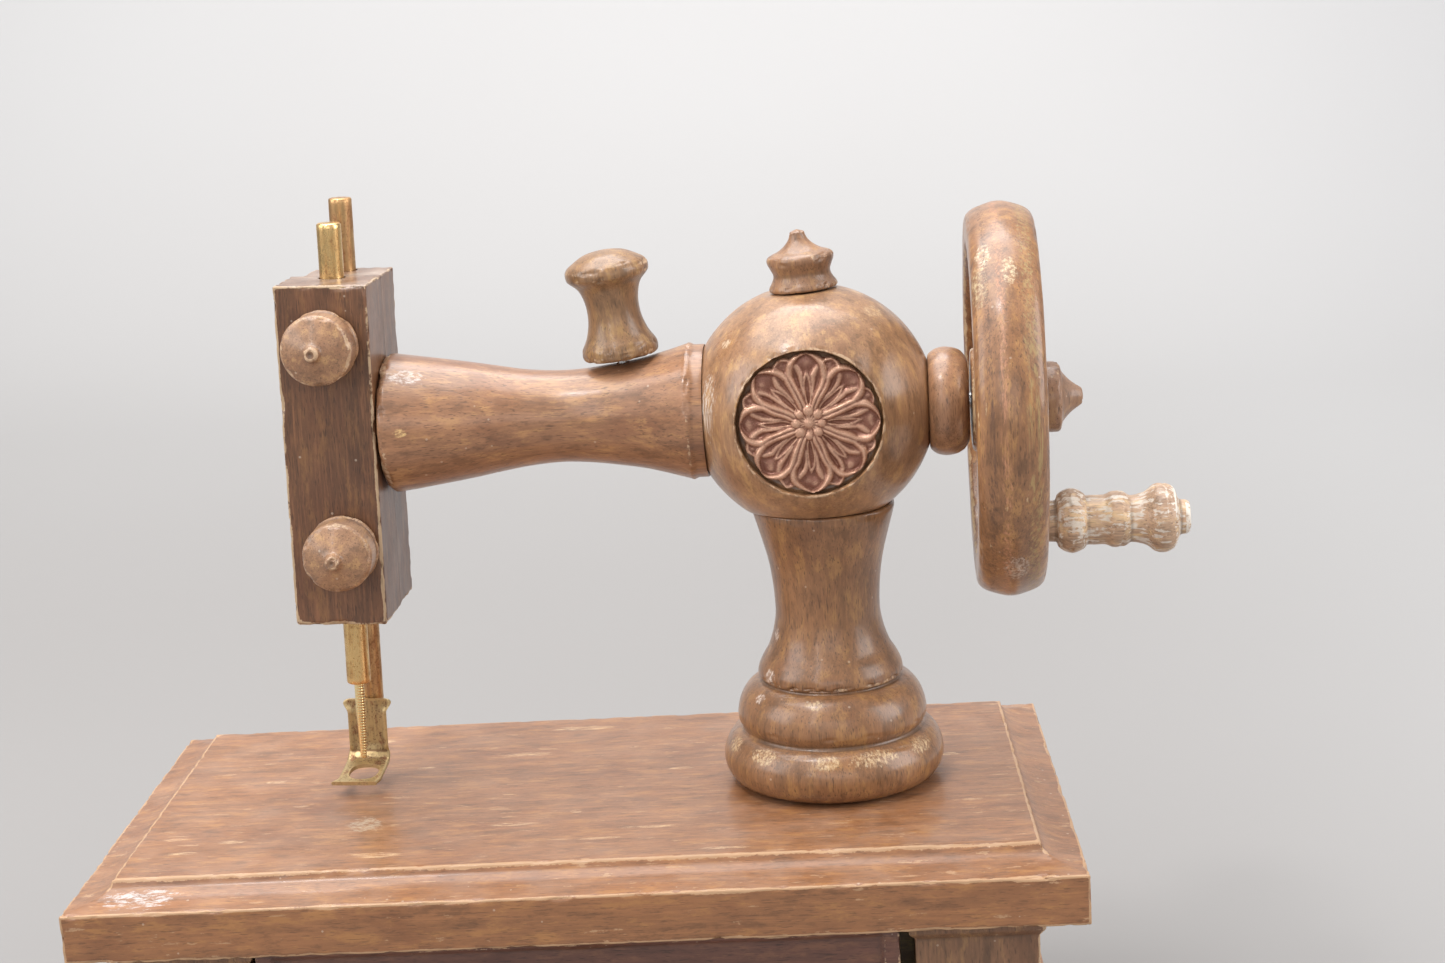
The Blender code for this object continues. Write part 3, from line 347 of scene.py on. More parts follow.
def off_seam(p):
    return float(smooth_step(0.2, 1.4, abs((BLOCK.inverted() @ (p * MM)).y / MM - SEAM)))


def weather(mesh, dent=0.05, chip=0.35, seed=0.0, sharp=0.55, calm=None):
    """Dents all over and chips on outer edges, always inwards; edge wear and a crease mask, which paints shade and
    grime into creases, go to the material.
    """
    bend = bends(mesh)
    wear = smooth_step(0.16, sharp, bend)
    if calm:
        wear = wear * np.array([calm(vert.co / MM) for vert in mesh.vertices])
    # Concave creases: the materials darken them with this mask, painted shade as well as grime.
    crease_shade_and_grime = smooth_step(0.10, 0.8, -bend)
    offset = Vector((seed, 2 * seed, 3 * seed))
    spots = array_of(mesh.vertices, "co", 3)
    normals = array_of(mesh.vertices, "normal", 3)
    for i, spot in enumerate(spots):
        p = Vector(spot) / MM + offset
        broad = noise.fractal(p / 9, 1.0, 2.0, 2)
        small = noise.fractal(p / 2.6, 0.9, 2.1, 3)
        depth = dent * (0.5 + 0.5 * broad) + chip * wear[i] * max(0.0, small - 0.05) * 1.6
        spots[i] = spot - normals[i] * max(0.0, depth) * MM
    mesh.vertices.foreach_set("co", spots.astype(np.float32).ravel())
    for name, values in (("wear", wear), ("crease_shade_and_grime", crease_shade_and_grime)):
        attribute = mesh.attributes.new(name, "FLOAT", "POINT")
        attribute.data.foreach_set("value", values.astype(np.float32))
    mesh.update()


def piece(name, bm, finish, nodes, crease=55, **aging):
    """A finished piece: it stands for its CAD nodes, moves with their body and wears the finish it is given."""
    mesh = bpy.data.meshes.new(name)
    bm.to_mesh(mesh)
    bm.free()
    weather(mesh, **aging)
    mesh.shade_smooth()
    mesh.set_sharp_from_angle(angle=math.radians(crease))
    mesh.materials.append(finish)
    made = bpy.data.objects.new(name, mesh)
    bpy.context.scene.collection.objects.link(made)
    nodes = [nodes] if isinstance(nodes, str) else nodes
    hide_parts(*nodes)
    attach(made, BODY_OF[nodes[0]])
    return made


# ---------------------------------------------------------------- materials
def scaled(colour, factor):
    return tuple(min(1.0, c * factor) for c in colour)


def redder(colour):
    return (colour[0] * 1.15, colour[1] * 0.9, colour[2] * 0.85)


def golden(colour):
    return (colour[0] * 1.55, colour[1] * 1.70, colour[2] * 1.35)


class Finish:
    """A Principled material and short ways to add nodes to it."""

    def __init__(self, name, **plain):
        self.material = bpy.data.materials.new(name)
        self.material.use_nodes = True
        self.tree = self.material.node_tree
        self.shader = self.tree.nodes["Principled BSDF"]
        for socket, value in plain.items():
            self.shader.inputs[socket.replace("_", " ")].default_value = value
        self.coordinates = self.tree.nodes.new("ShaderNodeTexCoord")

    def node(self, kind, inputs=(), **settings):
        made = self.tree.nodes.new("ShaderNode" + kind)
        for key, value in settings.items():
            setattr(made, key, value)
        for key, value in dict(inputs).items():
            self.put(made.inputs[key], value)
        return made

    def put(self, socket, value):
        if isinstance(value, bpy.types.NodeSocket):
            self.tree.links.new(value, socket)
        elif isinstance(value, tuple) and len(value) == 3 and socket.type == "RGBA":
            socket.default_value = (*value, 1)
        else:
            socket.default_value = value

    def space(self, place, size):
        """Object coordinates in a frame, divided by size in millimetres on each axis."""
        spot, turn, _ = place.decompose()
        made = self.node("Mapping", vector_type="TEXTURE")
        made.inputs["Location"].default_value = spot
        made.inputs["Rotation"].default_value = turn.to_euler()
        made.inputs["Scale"].default_value = [s * MM for s in size]
        self.tree.links.new(self.coordinates.outputs["Object"], made.inputs["Vector"])
        return made.outputs["Vector"]

    def noise(self, vector, detail=3.0, roughness=0.55, distortion=0.0, scale=1.0):
        inputs = {"Vector": vector, "Scale": scale, "Detail": detail, "Roughness": roughness,
                  "Distortion": distortion}
        return self.node("TexNoise", inputs).outputs["Fac"]

    def calc(self, operation, a, b, clamp=False):
        return self.node("Math", {0: a, 1: b}, operation=operation, use_clamp=clamp).outputs[0]

    def times(self, a, b):
        return self.calc("MULTIPLY", a, b)

    def plus(self, a, b, clamp=False):
        return self.calc("ADD", a, b, clamp)

    def minus(self, a, b):
        return self.calc("SUBTRACT", a, b)

    def step(self, value, low, high):
        """0 below low and 1 above high, smooth between; low above high turns it round."""
        inputs = {"Value": value, "From Min": low, "From Max": high}
        made = self.node("MapRange", inputs, interpolation_type="SMOOTHSTEP", clamp=True)
        return made.outputs["Result"]

    def mix(self, share, a, b, mode="MIX"):
        made = self.node("Mix", data_type="RGBA", blend_type=mode, clamp_factor=True)
        colours = [s for s in made.inputs if s.type == "RGBA"]
        self.put(made.inputs["Factor"], share)
        self.put(colours[0], a)
        self.put(colours[1], b)
        return [s for s in made.outputs if s.type == "RGBA"][0]

    def patch(self, place, centre, radii):
        """1 inside an ellipsoid of a frame, in millimetres, fading at its edge."""
        local = self.space(place @ Matrix.Translation(Vector(centre) * MM), radii)
        length = self.node("VectorMath", {0: local}, operation="LENGTH").outputs["Value"]
        return self.step(length, 1.25, 0.45)

    def attribute(self, name):
        return self.node("Attribute", attribute_name=name).outputs["Fac"]

    def finish(self, colour, roughness, bump_height=None, bump=0.2, distance=0.3):
        self.put(self.shader.inputs["Base Color"], colour)
        self.put(self.shader.inputs["Roughness"], roughness)
        if bump_height is not None:
            inputs = {"Height": bump_height, "Strength": bump, "Distance": distance * MM}
            made = self.node("Bump", inputs)
            self.tree.links.new(made.outputs["Normal"], self.shader.inputs["Normal"])
        return self.material


def wood(name, grain, stain, worn=(0.62, 0.41, 0.25), seed=0.0, gloss=0.36, wear=0.5, scuffs=0.5, dust=0.2,
         fleck=0.6, figure_contrast=0.6, mottling=1.0, fibres=0.4, marks_and_highlight=()):
    """Stained close-grained wood. grain's Z runs along the fibres; wear and scuffs bare paler wood.

    The marks are (frame, centre, radii, size of its streaks or None, colour): single scrapes and stains, and on
    the wheel a reddish ring that is partly a painted highlight.
    """
    made = Finish(name, Coat_Weight=0.4, Coat_Roughness=0.20, Specular_IOR_Level=0.5)
    moved = grain @ Matrix.Translation(Vector((seed, seed * 0.7, seed * 1.3)) * MM)
    figure = made.noise(made.space(moved, (5, 5, 55)), 3, 0.6, 0.5)
    fibre = made.noise(made.space(moved, (0.55, 0.55, 11)), 3, 0.62)
    pores = made.noise(made.space(moved, (0.32, 0.32, 2.8)), 1, 0.5)
    blotch = made.noise(made.space(moved, (16, 16, 28)), 4, 0.6, 0.4)
    mottle = made.noise(made.space(moved, (3.0, 3.0, 10)), 6, 0.72)
    grit = made.noise(made.space(moved, (0.7, 0.7, 0.9)), 3, 0.6)
    streak = made.noise(made.space(moved, (1.2, 1.2, 15)), 4, 0.62)
    chips = made.noise(made.space(moved, (2.8, 2.8, 5.0)), 5, 0.68)
    haze = made.noise(made.space(moved, (12, 12, 12)), 5, 0.6)
    cells = made.node("TexVoronoi", {"Vector": made.space(moved, (3.2, 3.2, 3.2)), "Scale": 1.0})

    low = scaled(stain, 1 - 0.55 * figure_contrast)
    colour = made.mix(made.step(figure, 0.28, 0.72), low, stain)
    colour = made.mix(made.times(made.step(fibre, 0.42, 0.75), fibres), colour, scaled(stain, 1.5))
    dull = made.times(made.step(blotch, 0.48, 0.72), 0.5)
    colour = made.mix(dull, colour, redder(scaled(stain, 0.48)))
    light = made.times(made.step(mottle, 0.50, 0.34), 0.55 * mottling)
    colour = made.mix(light, colour, golden(stain))
    dark = made.times(made.step(mottle, 0.52, 0.66), 0.6 * mottling)
    colour = made.mix(dark, colour, scaled(stain, 0.42))
    pore = made.step(pores, 0.58, 0.72)
    colour = made.mix(made.times(pore, fleck), colour, scaled(stain, 0.22))

    edge = made.attribute("wear")
    ragged = edge
    for source, share in ((grit, 0.9), (chips, 1.3), (blotch, 1.8)):
        ragged = made.plus(ragged, made.times(made.minus(source, 0.5), share))
    bare_edge = made.step(ragged, 1.28 - 0.75 * wear, 1.5 - 0.75 * wear)
    bare_edge = made.times(bare_edge, made.step(edge, 0.05, 0.3))
    scratched = made.plus(made.times(streak, 0.55), made.times(chips, 0.45))
    bare_spot = made.step(scratched, 0.72 - 0.1 * scuffs, 0.75 - 0.1 * scuffs)
    bare = made.calc("MAXIMUM", bare_edge, made.times(bare_spot, 0.75))
    colour = made.mix(bare, colour, made.mix(fibre, scaled(worn, 0.66), worn))
    # Each mark paints its colour into an ellipsoid: scrapes and stains, and on the wheel a ring that is partly a
    # painted highlight.
    for place, centre, radii, streaks, tint in marks_and_highlight:
        mask = made.patch(place, centre, radii)
        lines = made.noise(made.space(moved, streaks or (0.7, 0.7, 1.4)), 5, 0.75)
        level = made.plus(lines, made.times(mask, 0.37 if streaks else 0.42))
        mask = made.step(level, 0.82, 0.98 if streaks else 1.1)
        colour = made.mix(made.times(mask, 0.75), colour, tint)
        bare = made.calc("MAXIMUM", bare, made.times(mask, 0.7))
    specks = made.step(cells.outputs["Distance"], 0.11, 0.07)
    chosen = made.step(made.node("SeparateColor", {0: cells.outputs["Color"]}).outputs[0], 0.70, 0.72)
    specks = made.times(specks, chosen)
    colour = made.mix(made.times(specks, 0.3), colour, (0.72, 0.60, 0.47))

    # Painted shade and grime: concave creases are darkened towards a deep stain, broken up by haze.
    crease_shade_and_dirt = made.times(made.attribute("crease_shade_and_grime"), made.step(haze, 0.3, 0.6))
    colour = made.mix(made.times(crease_shade_and_dirt, 0.6), colour, scaled(stain, 0.2))
    facing = made.node("SeparateXYZ", {0: made.coordinates.outputs["Normal"]}).outputs["Z"]
    settled = made.times(made.step(facing, 0.2, 0.95), made.step(haze, 0.30, 0.85))
    colour = made.mix(made.times(settled, dust), colour, (0.52, 0.42, 0.35))

    rough = made.plus(gloss, made.times(made.minus(haze, 0.4), 0.35))
    rough = made.plus(rough, made.times(bare, 0.3))
    rough = made.plus(rough, made.times(settled, 0.2), clamp=True)
    height = made.minus(made.times(fibre, 0.5), made.times(pore, 0.5))
    height = made.minus(height, made.times(bare, 0.45))
    return made.finish(colour, rough, height, 0.35, 0.12)


def metal(name, grain, bright, tarnish, stain, seed=0.0, gloss=0.25, tarnished=0.5, metallic=1.0,
          hollows=None, rust=0.15):
    """Old metal: bright streaks along grain's Z, tarnish in clouds, small dark pits.

    hollows is (frame, low, high, colour): below high, along the frame's Z, the colour takes over.
    """
    made = Finish(name, Metallic=metallic)
    moved = grain @ Matrix.Translation(Vector((seed, seed, seed)) * MM)
    streak = made.noise(made.space(moved, (0.55, 0.55, 9)), 4, 0.6)
    cloud = made.noise(made.space(moved, (2.6, 2.6, 5)), 5, 0.65, 0.5)
    pits = made.noise(made.space(moved, (0.5, 0.5, 0.6)), 2, 0.6)
    share = made.plus(made.times(streak, 0.45), made.times(cloud, 0.55))
    old = made.step(share, 0.62 - 0.3 * tarnished, 0.80 - 0.3 * tarnished)
    colour = made.mix(old, bright, tarnish)
    spots = made.plus(made.times(pits, 0.7), made.times(cloud, 0.3))
    spots = made.step(spots, 0.54, 0.62)
    rusty = made.step(cloud, 0.54, 0.62)
    colour = made.mix(made.times(rusty, rust), colour, scaled(stain, 1.9))
    colour = made.mix(made.times(spots, 0.75), colour, stain)
    if hollows:
        place, low, high, deep = hollows
        level = made.node("SeparateXYZ", {0: made.space(place, (1, 1, 1))}).outputs["Z"]
        colour = made.mix(made.step(level, high, low), colour, deep)
    # Painted shade and grime: concave creases are darkened towards the stain colour.
    colour = made.mix(made.times(made.attribute("crease_shade_and_grime"), 0.8), colour, stain)
    colour = made.mix(made.times(made.attribute("wear"), 0.6), colour, scaled(bright, 1.25))
    rough = made.plus(gloss, made.times(old, 0.22))
    rough = made.plus(rough, made.times(spots, 0.25), clamp=True)
    height = made.minus(made.times(streak, 0.3), made.times(spots, 0.5))
    return made.finish(colour, rough, height, 0.25, 0.08)


ALONG_X = pointing(HEAD, (1, 0, 0))
TO_FRONT = pointing(HEAD, (0, -1, 0))
BOARD_GRAIN = pointing(WORLD, (1, 0, 0))
STAIN = (0.300, 0.145, 0.066)
CHALK, STRAW = (0.85, 0.72, 0.62), (0.78, 0.58, 0.34)

ARM_MARKS = [(HEAD, (-97.0, -15.7, 0.5), (2.2, 2.0, 1.7), None, (0.90, 0.62, 0.26)),
             (HEAD, (-96.0, -9.5, 12.5), (6.5, 4.0, 3.0), None, (0.82, 0.76, 0.72))]
ARM_WOOD = wood("arm_wood", ALONG_X, (0.345, 0.165, 0.082), seed=11, gloss=0.34, wear=0.25, scuffs=0.25,
                dust=0.15, marks_and_highlight=ARM_MARKS)
BALL_MARKS = [(HEAD, (BALL_X - 18.4, -13.7, 17.9), (2.2, 2.5, 1.7), None, (0.85, 0.68, 0.48)),
              (HEAD, (BALL_X - 22.0, -15.0, 3.0), (4.5, 6.0, 12.0), (0.30, 0.30, 16), (0.85, 0.78, 0.70)),
              (HEAD, (BALL_X + 15.5, -8.0, 23.3), (6.0, 6.0, 2.0), None, (0.68, 0.48, 0.28))]
BALL_WOOD = wood("ball_wood", HEAD, (0.37, 0.195, 0.098), seed=23, gloss=0.30, scuffs=0.35, dust=0.08,
                 fleck=0.4, marks_and_highlight=BALL_MARKS)

COLUMN_MARKS = [(HEAD, (-12.2, -5.3, -54.1), (1.7, 2.0, 2.6), None, CHALK),
                (HEAD, (-14.5, -9.8, -63.4), (3.2, 3.2, 3.4), None, CHALK),
                (HEAD, (-17.0, -12.0, -67.8), (2.6, 2.6, 2.0), None, CHALK),
                (HEAD, (-3.4, -19.8, -67.5), (2.8, 2.8, 1.8), None, STRAW)]
TORUS_FRONT = Vector((0, -25.2, -80.1))
for turn, width in ((-68, 4.5), (-40, 6.5), (-2, 5.0), (25, 9.0), (58, 6.0)):
    spot = Matrix.Rotation(math.radians(turn), 3, "Z") @ TORUS_FRONT
    COLUMN_MARKS.append((HEAD, spot, (width, width, 2.5), None, STRAW))
COLUMN_WOOD = wood("column_wood", HEAD, (0.275, 0.130, 0.056), seed=31, gloss=0.32, wear=0.2, scuffs=0.35,
                   dust=0.06, fleck=0.7, marks_and_highlight=COLUMN_MARKS)

WHEEL_MIDDLE = Matrix.Translation(HEAD @ Vector((WHEEL_X * MM, 0, 0))) @ HEAD.to_3x3().to_4x4()
WHEEL_MARKS_AND_HIGHLIGHT = [(WHEEL_MIDDLE, (-4.8, -25.0, 37.0), (2.6, 6.0, 6.0), None, (0.80, 0.66, 0.46)),
               (WHEEL_MIDDLE, (0.6, -30.0, 34.0), (2.6, 6.0, 6.0), None, (0.80, 0.66, 0.42)),
               (WHEEL_MIDDLE, (-6.0, -30.0, 30.0), (2.6, 9.0, 9.0), None, (0.62, 0.48, 0.28)),
               (WHEEL_MIDDLE, (0.6, -33.0, -33.0), (4.5, 8.0, 7.0), None, (0.66, 0.54, 0.44)),
               (WHEEL_MIDDLE, (-4.6, 0, 0), (1.7, 90, 90), (0.5, 0.5, 22), (0.10, 0.048, 0.028)),
               # This reddish ring round the rim is partly grain banding and partly a painted highlight, a lighter
               # band where the rim catches the light.
               (WHEEL_MIDDLE, (-1.6, 0, 0), (2.2, 90, 90), (0.6, 0.6, 22), (0.52, 0.24, 0.13)),
               (WHEEL_MIDDLE, (4.6, 0, 0), (3.6, 90, 90), (0.8, 0.8, 18), (0.36, 0.25, 0.10))]
WHEEL_WOOD = wood("wheel_wood", HEAD, (0.30, 0.140, 0.062), worn=(0.60, 0.41, 0.23), seed=47, gloss=0.31,
                  wear=0.6, scuffs=0.9, dust=0.05, mottling=1.2, marks_and_highlight=WHEEL_MARKS_AND_HIGHLIGHT)
FINIAL_WOOD = wood("finial_wood", FINIAL, (0.30, 0.150, 0.075), seed=53, gloss=0.42, wear=0.4, scuffs=0.3)
SPOOL_WOOD = wood("spool_wood", SPOOL, (0.285, 0.150, 0.069), seed=61, gloss=0.38, wear=0.3, scuffs=0.4,
                  dust=0.05)
BEAD_WOOD = wood("bead_wood", HEAD, (0.39, 0.20, 0.105), seed=67, gloss=0.38, wear=0.3, scuffs=0.3, dust=0.1)
CAP_WOOD = wood("hub_cap_wood", HEAD, (0.30, 0.155, 0.085), seed=71, gloss=0.42, wear=0.15, scuffs=0.4)
GRIP_WOOD = wood("grip_wood", ALONG_X, (0.54, 0.35, 0.225), worn=(0.88, 0.80, 0.70), seed=79, gloss=0.55,
                 scuffs=2.0, dust=0.25)
BLOCK_WOOD = wood("block_wood", BLOCK, (0.150, 0.063, 0.027), worn=(0.55, 0.38, 0.23), seed=83, gloss=0.42,
                  wear=0.75, scuffs=0.35, dust=0.75, fibres=1.0)
BUTTON_WOOD = wood("button_wood", pointing(BLOCK, (0, -1, 0)), (0.36, 0.190, 0.100), seed=89, gloss=0.40,
                   wear=0.35, scuffs=0.4, dust=0.25)

BOARD_MARKS = [(WORLD, (-98.0, -54.0, BOARD_TOP + 1), (12.0, 7.0, 3.0), (1.0, 1.0, 3.0), (0.62, 0.60, 0.60)),
               (WORLD, (-52.0, -22.0, FIELD_TOP), (6.0, 7.0, 2.0), None, (0.50, 0.44, 0.33))]
BARE_GRAIN = ((-46, -42, 9, 2.6), (-16, -26, 9, 1.5), (-2, -19, 2.4, 1.6), (5, -37, 8, 1.2),
              (-82, -30, 6, 1.4), (-92, -36, 6, 1.1), (-96, -27, 5, 1.3), (-80, 10, 4, 1.8), (-43, 16, 4, 1.5),
              (-18, 23, 10, 2.2), (16, -31, 11, 1.2), (-60, 38, 9, 2.4), (-5, 42, 12, 2.6), (34, -46, 9, 1.4),
              (88, 10, 5, 1.6), (-70, -8, 3, 1.2), (92, -22, 4, 1.2), (22, 8, 5, 1.4))
for x, y, long, wide in BARE_GRAIN:
    spot = (x, y, FIELD_TOP)
    BOARD_MARKS.append((WORLD, spot, (long, wide, 2.0), (0.35, 0.35, 5.0), (0.72, 0.49, 0.28)))
BOARD_WOOD = wood("board_wood", BOARD_GRAIN, (0.285, 0.120, 0.047), worn=(0.53, 0.31, 0.165), seed=97,
                  gloss=0.42, wear=1.0, scuffs=1.3, fleck=0.4, figure_contrast=0.4, mottling=0.9,
                  marks_and_highlight=BOARD_MARKS)
POST_WOOD = wood("post_wood", WORLD, (0.24, 0.118, 0.058), seed=101, gloss=0.42, scuffs=0.3)
PANEL_WOOD = wood("panel_wood", WORLD, (0.23, 0.112, 0.056), seed=103, gloss=0.44, wear=0.45, scuffs=0.25)
DRAWER_WOOD = wood("drawer_front_wood", BOARD_GRAIN, (0.165, 0.066, 0.042), seed=107, wear=0.45, scuffs=0.2,
                   dust=0.15)
KNOB_WOOD = wood("drawer_knob_wood", pointing(WORLD, (0, -1, 0)), STAIN, seed=109, gloss=0.38, wear=0.4,
                 scuffs=0.3)
RAW = {"stain": (0.52, 0.38, 0.23), "worn": (0.60, 0.46, 0.30), "gloss": 0.68, "wear": 0.2, "scuffs": 0.1,
       "dust": 0.1, "fleck": 0.3, "figure_contrast": 0.35}
RAW_WOOD = wood("raw_wood", BOARD_GRAIN, seed=113, **RAW)
SIDE_RAW_WOOD = wood("raw_wood_lengthwise", pointing(WORLD, (0, 1, 0)), seed=127, **RAW)

GOLD, OLIVE, RUST = (0.72, 0.49, 0.22), (0.40, 0.24, 0.095), (0.17, 0.070, 0.035)
BAR_BRASS = metal("bar_brass", BLOCK, GOLD, OLIVE, RUST, seed=5, gloss=0.24, tarnished=0.55)
BAR_DARK_BRASS = metal("presser_bar_brass", BLOCK, (0.56, 0.35, 0.165), (0.27, 0.135, 0.07), RUST, seed=9,
                       gloss=0.28, tarnished=0.7, rust=0.5)
NEEDLE_BRASS = metal("needle_brass", BLOCK, (0.82, 0.64, 0.33), (0.56, 0.40, 0.18), RUST, seed=13, gloss=0.24,
                     tarnished=0.2)
FOOT_BRASS = metal("foot_brass", BLOCK, (0.50, 0.37, 0.19), (0.30, 0.21, 0.11), (0.17, 0.085, 0.045), seed=17,
                   gloss=0.38, tarnished=0.6, metallic=0.85, rust=0.8)
WORK_BRASS = metal("movement_brass", HEAD, (0.82, 0.58, 0.25), (0.58, 0.40, 0.17), RUST, seed=19, gloss=0.22,
                   tarnished=0.2)
PLATE_BRASS = metal("bedplate_brass", WORLD, (0.50, 0.38, 0.19), (0.30, 0.22, 0.11), RUST, seed=21, gloss=0.4)
STEEL = metal("steel", HEAD, (0.62, 0.62, 0.63), (0.40, 0.39, 0.38), (0.20, 0.13, 0.09), seed=25, gloss=0.26,
              tarnished=0.3)
HOLLOWS = (RECESS, RECESS_FLOOR + 1.3, RECESS_FLOOR + 2.2, (0.24, 0.098, 0.065))
FLOWER_COPPER = metal("flower_copper", TO_FRONT, (0.48, 0.275, 0.185), (0.35, 0.175, 0.115),
                      (0.20, 0.075, 0.045), seed=29, gloss=0.26, metallic=0.35, hollows=HOLLOWS)


# ---------------------------------------------------------------- cabinet
def field_board():
    """Top board: a heightfield whose edge moulding follows the distance to the nearest side."""
    half = ((BOARD_HIGH.x - BOARD_LOW.x) / 2, (BOARD_HIGH.y - BOARD_LOW.y) / 2)
    inset = 10.1
    cove = spline([(0, 0), (2.4, 0.3), (5.2, 0.8), (7.8, 1.7), (inset - 0.6, 3.0)])
    step = [(inset - 0.4, FIELD_RISE - 0.4), (inset, FIELD_RISE), (inset + 4, FIELD_RISE)]
    insets, rises = zip(*eased(resampled([(-1, 0)] + cove + step, 0.2), 3))
    near = (0, 0.14, 0.3, 0.5, 0.8, 1.3, 2.0, 2.9, 3.9, 5.0, 6.1, 7.1, 8.0, 8.7, 9.2, 9.5, 9.7, 9.9,
            inset, 10.35, 10.7, 11.3, 12.2)
    lines = [grid_lines(-h, h, 1.5, near) for h in half]
    lines.append(grid_lines(BOARD_LOW.z, BOARD_TOP, 1.2))
    bm = block([-half[0], -half[1], BOARD_LOW.z], [half[0], half[1], BOARD_TOP], WORLD, rounding=0.55, seed=3,
               lines=lines)
    for vert in bm.verts:
        x, y, z = (c / MM for c in vert.co)
        if z < BOARD_TOP - 1.5:
            continue
        distance = min(half[0] - abs(x), half[1] - abs(y))
        share = min(1.0, max(0.0, (z - BOARD_TOP + 1.5) / 1.0))
        vert.co.z += float(np.interp(distance, insets, rises)) * share * MM

    def on_mitre(vert):
        from_sides = [h - abs(c) / MM for h, c in zip(half, vert.co.xy)]
        even = abs(from_sides[0] - from_sides[1]) < 0.02
        return even and from_sides[0] < 13 and vert.co.z / MM > BOARD_TOP - 0.8

    for face in list(bm.faces):
        mitre = [on_mitre(vert) for vert in face.verts]
        for a, b in ((0, 2), (1, 3)):
            if mitre[a] and mitre[b] and not mitre[1 - a] and not mitre[3 - a]:
                bmesh.utils.face_split(face, face.verts[a], face.verts[b])
                break
    shaft_hole = rod(3.5, BOARD_LOW.z - 9, FIELD_TOP + 9, WORLD, origin=(COLUMN_SPOT.x / MM, 0, 0))
    return carved(bm, shaft_hole)


piece("Top_Board", field_board(), BOARD_WOOD, "top_board", dent=0.10, chip=0.5, seed=3)


def draw_in(bm, low, high, inset_at):
    """Narrow an upright block about its middle, by inset_at(height) on each side."""
    centre = (low + high) / 2
    for vert in bm.verts:
        inset = float(inset_at(vert.co.z / MM))
        for axis in (0, 1):
            half = (high[axis] - low[axis]) / 2
            offset = vert.co[axis] / MM - centre[axis]
            vert.co[axis] = (centre[axis] + offset * (half - inset) / half) * MM


def base_board():
    """A plinth with an ogee round its top edge."""
    low, high = box_mm("base_board")
    near = (0, 0.3, 0.8, 1.5, 2.3, 3.2, 4.2, 5.2, 7)
    lines = [grid_lines(low.x, high.x, 3, near), grid_lines(low.y, high.y, 3, near),
             [low.z, 0.3, 0.8, 2, 4, 5, 5.4, 5.9, 6.6, 7.4, 8.2, 9.0, 9.6, high.z]]
    bm = block(low, high, WORLD, rounding=0.7, seed=5, lines=lines)
    ogee = spline([(0, -5.0), (1.5, -4.5), (2.3, -2.0), (4.9, -0.4), (6.0, 0)])
    insets, heights = zip(*ogee)
    draw_in(bm, low, high, lambda z: np.interp(z - high.z, heights, insets))
    bush_hole = rod(4.0, BASE_TOP - 5, BASE_TOP + 5, WORLD, origin=(COLUMN_SPOT.x / MM, 0, 0))
    return carved(bm, bush_hole)


piece("Base_Board", base_board(), BOARD_WOOD, "base_board", dent=0.10, chip=0.5, seed=7)


def front_post(node):
    """A flat pilaster with a plain square capital at each end."""
    low, high = box_mm(node)
    cap, proud = 5.2, 1.5
    ends = [low.z, low.z + 0.2, low.z + 0.5, low.z + 1.5, low.z + 3]
    step = [low.z + cap + d for d in (-1.2, -0.8, -0.4, -0.1, 0.2, 0.6, 0.9)]
    rest = grid_lines(low.z + cap + 1.4, high.z - cap - 1.4, 1.6, (0, 0.5, 1.0))
    upper = [low.z + high.z - z for z in reversed(ends + step)]
    bm = block(low, high, WORLD, rounding=0.5, seed=low.x, lines=[
        grid_lines(low.x, high.x, 1.4), grid_lines(low.y, high.y, 1.4), ends + step + rest + upper])
    profile = [(0, 0), (cap - 1.2, 0), (cap - 0.4, 0.6), (cap + 0.6, proud), (cap + 40, proud)]
    distances, insets = zip(*eased(resampled(profile, 0.2), 2))
    draw_in(bm, low, high, lambda z: np.interp(min(z - low.z, high.z - z), distances, insets))
    return bm


for node in ("front_post_left", "front_post_right"):
    piece(node.title(), front_post(node), POST_WOOD, node, dent=0.08, chip=0.5, seed=13)

SLABS = {"side_panel_left": PANEL_WOOD, "side_panel_right": PANEL_WOOD, "back_panel": PANEL_WOOD,
         "partition_board": RAW_WOOD, "drawer_side_left": SIDE_RAW_WOOD, "drawer_side_right": SIDE_RAW_WOOD,
         "drawer_back": RAW_WOOD, "drawer_bottom": RAW_WOOD}
for node, finish in SLABS.items():
    low, high = box_mm(node)
    bm = block(low, high, WORLD, 2.5, 0.35, seed=low.x)
    piece(node.title(), bm, finish, node, dent=0.08, chip=0.25, seed=17)


def drawer_face():
    """Drawer front: a raised rim round a field that lies a little lower, and the knob screw's hole."""
    low, high = box_mm("drawer_front")
    near = (0, 0.2, 0.45, 0.8, 1.4, 2.2, 3.0, 3.5, 3.9, 4.3, 4.8, 5.2, 6.2)
    lines = [grid_lines(low.x, high.x, 1.5, near), grid_lines(low.y, high.y, 1.6),
             grid_lines(low.z, high.z, 1.5, near)]
    bm = block(low, high, WORLD, rounding=0.45, seed=9, lines=lines)
    depths = eased(resampled([(0, 0), (3.4, 0), (4.6, 1.2), (6, 1.2)], 0.2), 2)
    distances, drops = zip(*depths)
    for vert in bm.verts:
        x, y, z = (c / MM for c in vert.co)
        if y < low.y + 1.0:
            distance = min(x - low.x, high.x - x, z - low.z, high.z - z)
            vert.co.y += float(np.interp(distance, distances, drops)) * MM
    spot = ((low.x + high.x) / 2, 0, (low.z + high.z) / 2)
    return carved(bm, rod(1.2, -100, 100, WORLD, (0, 1, 0), spot, 24))


piece("Drawer_Front", drawer_face(), DRAWER_WOOD, "drawer_front", dent=0.07, chip=0.4, seed=19)


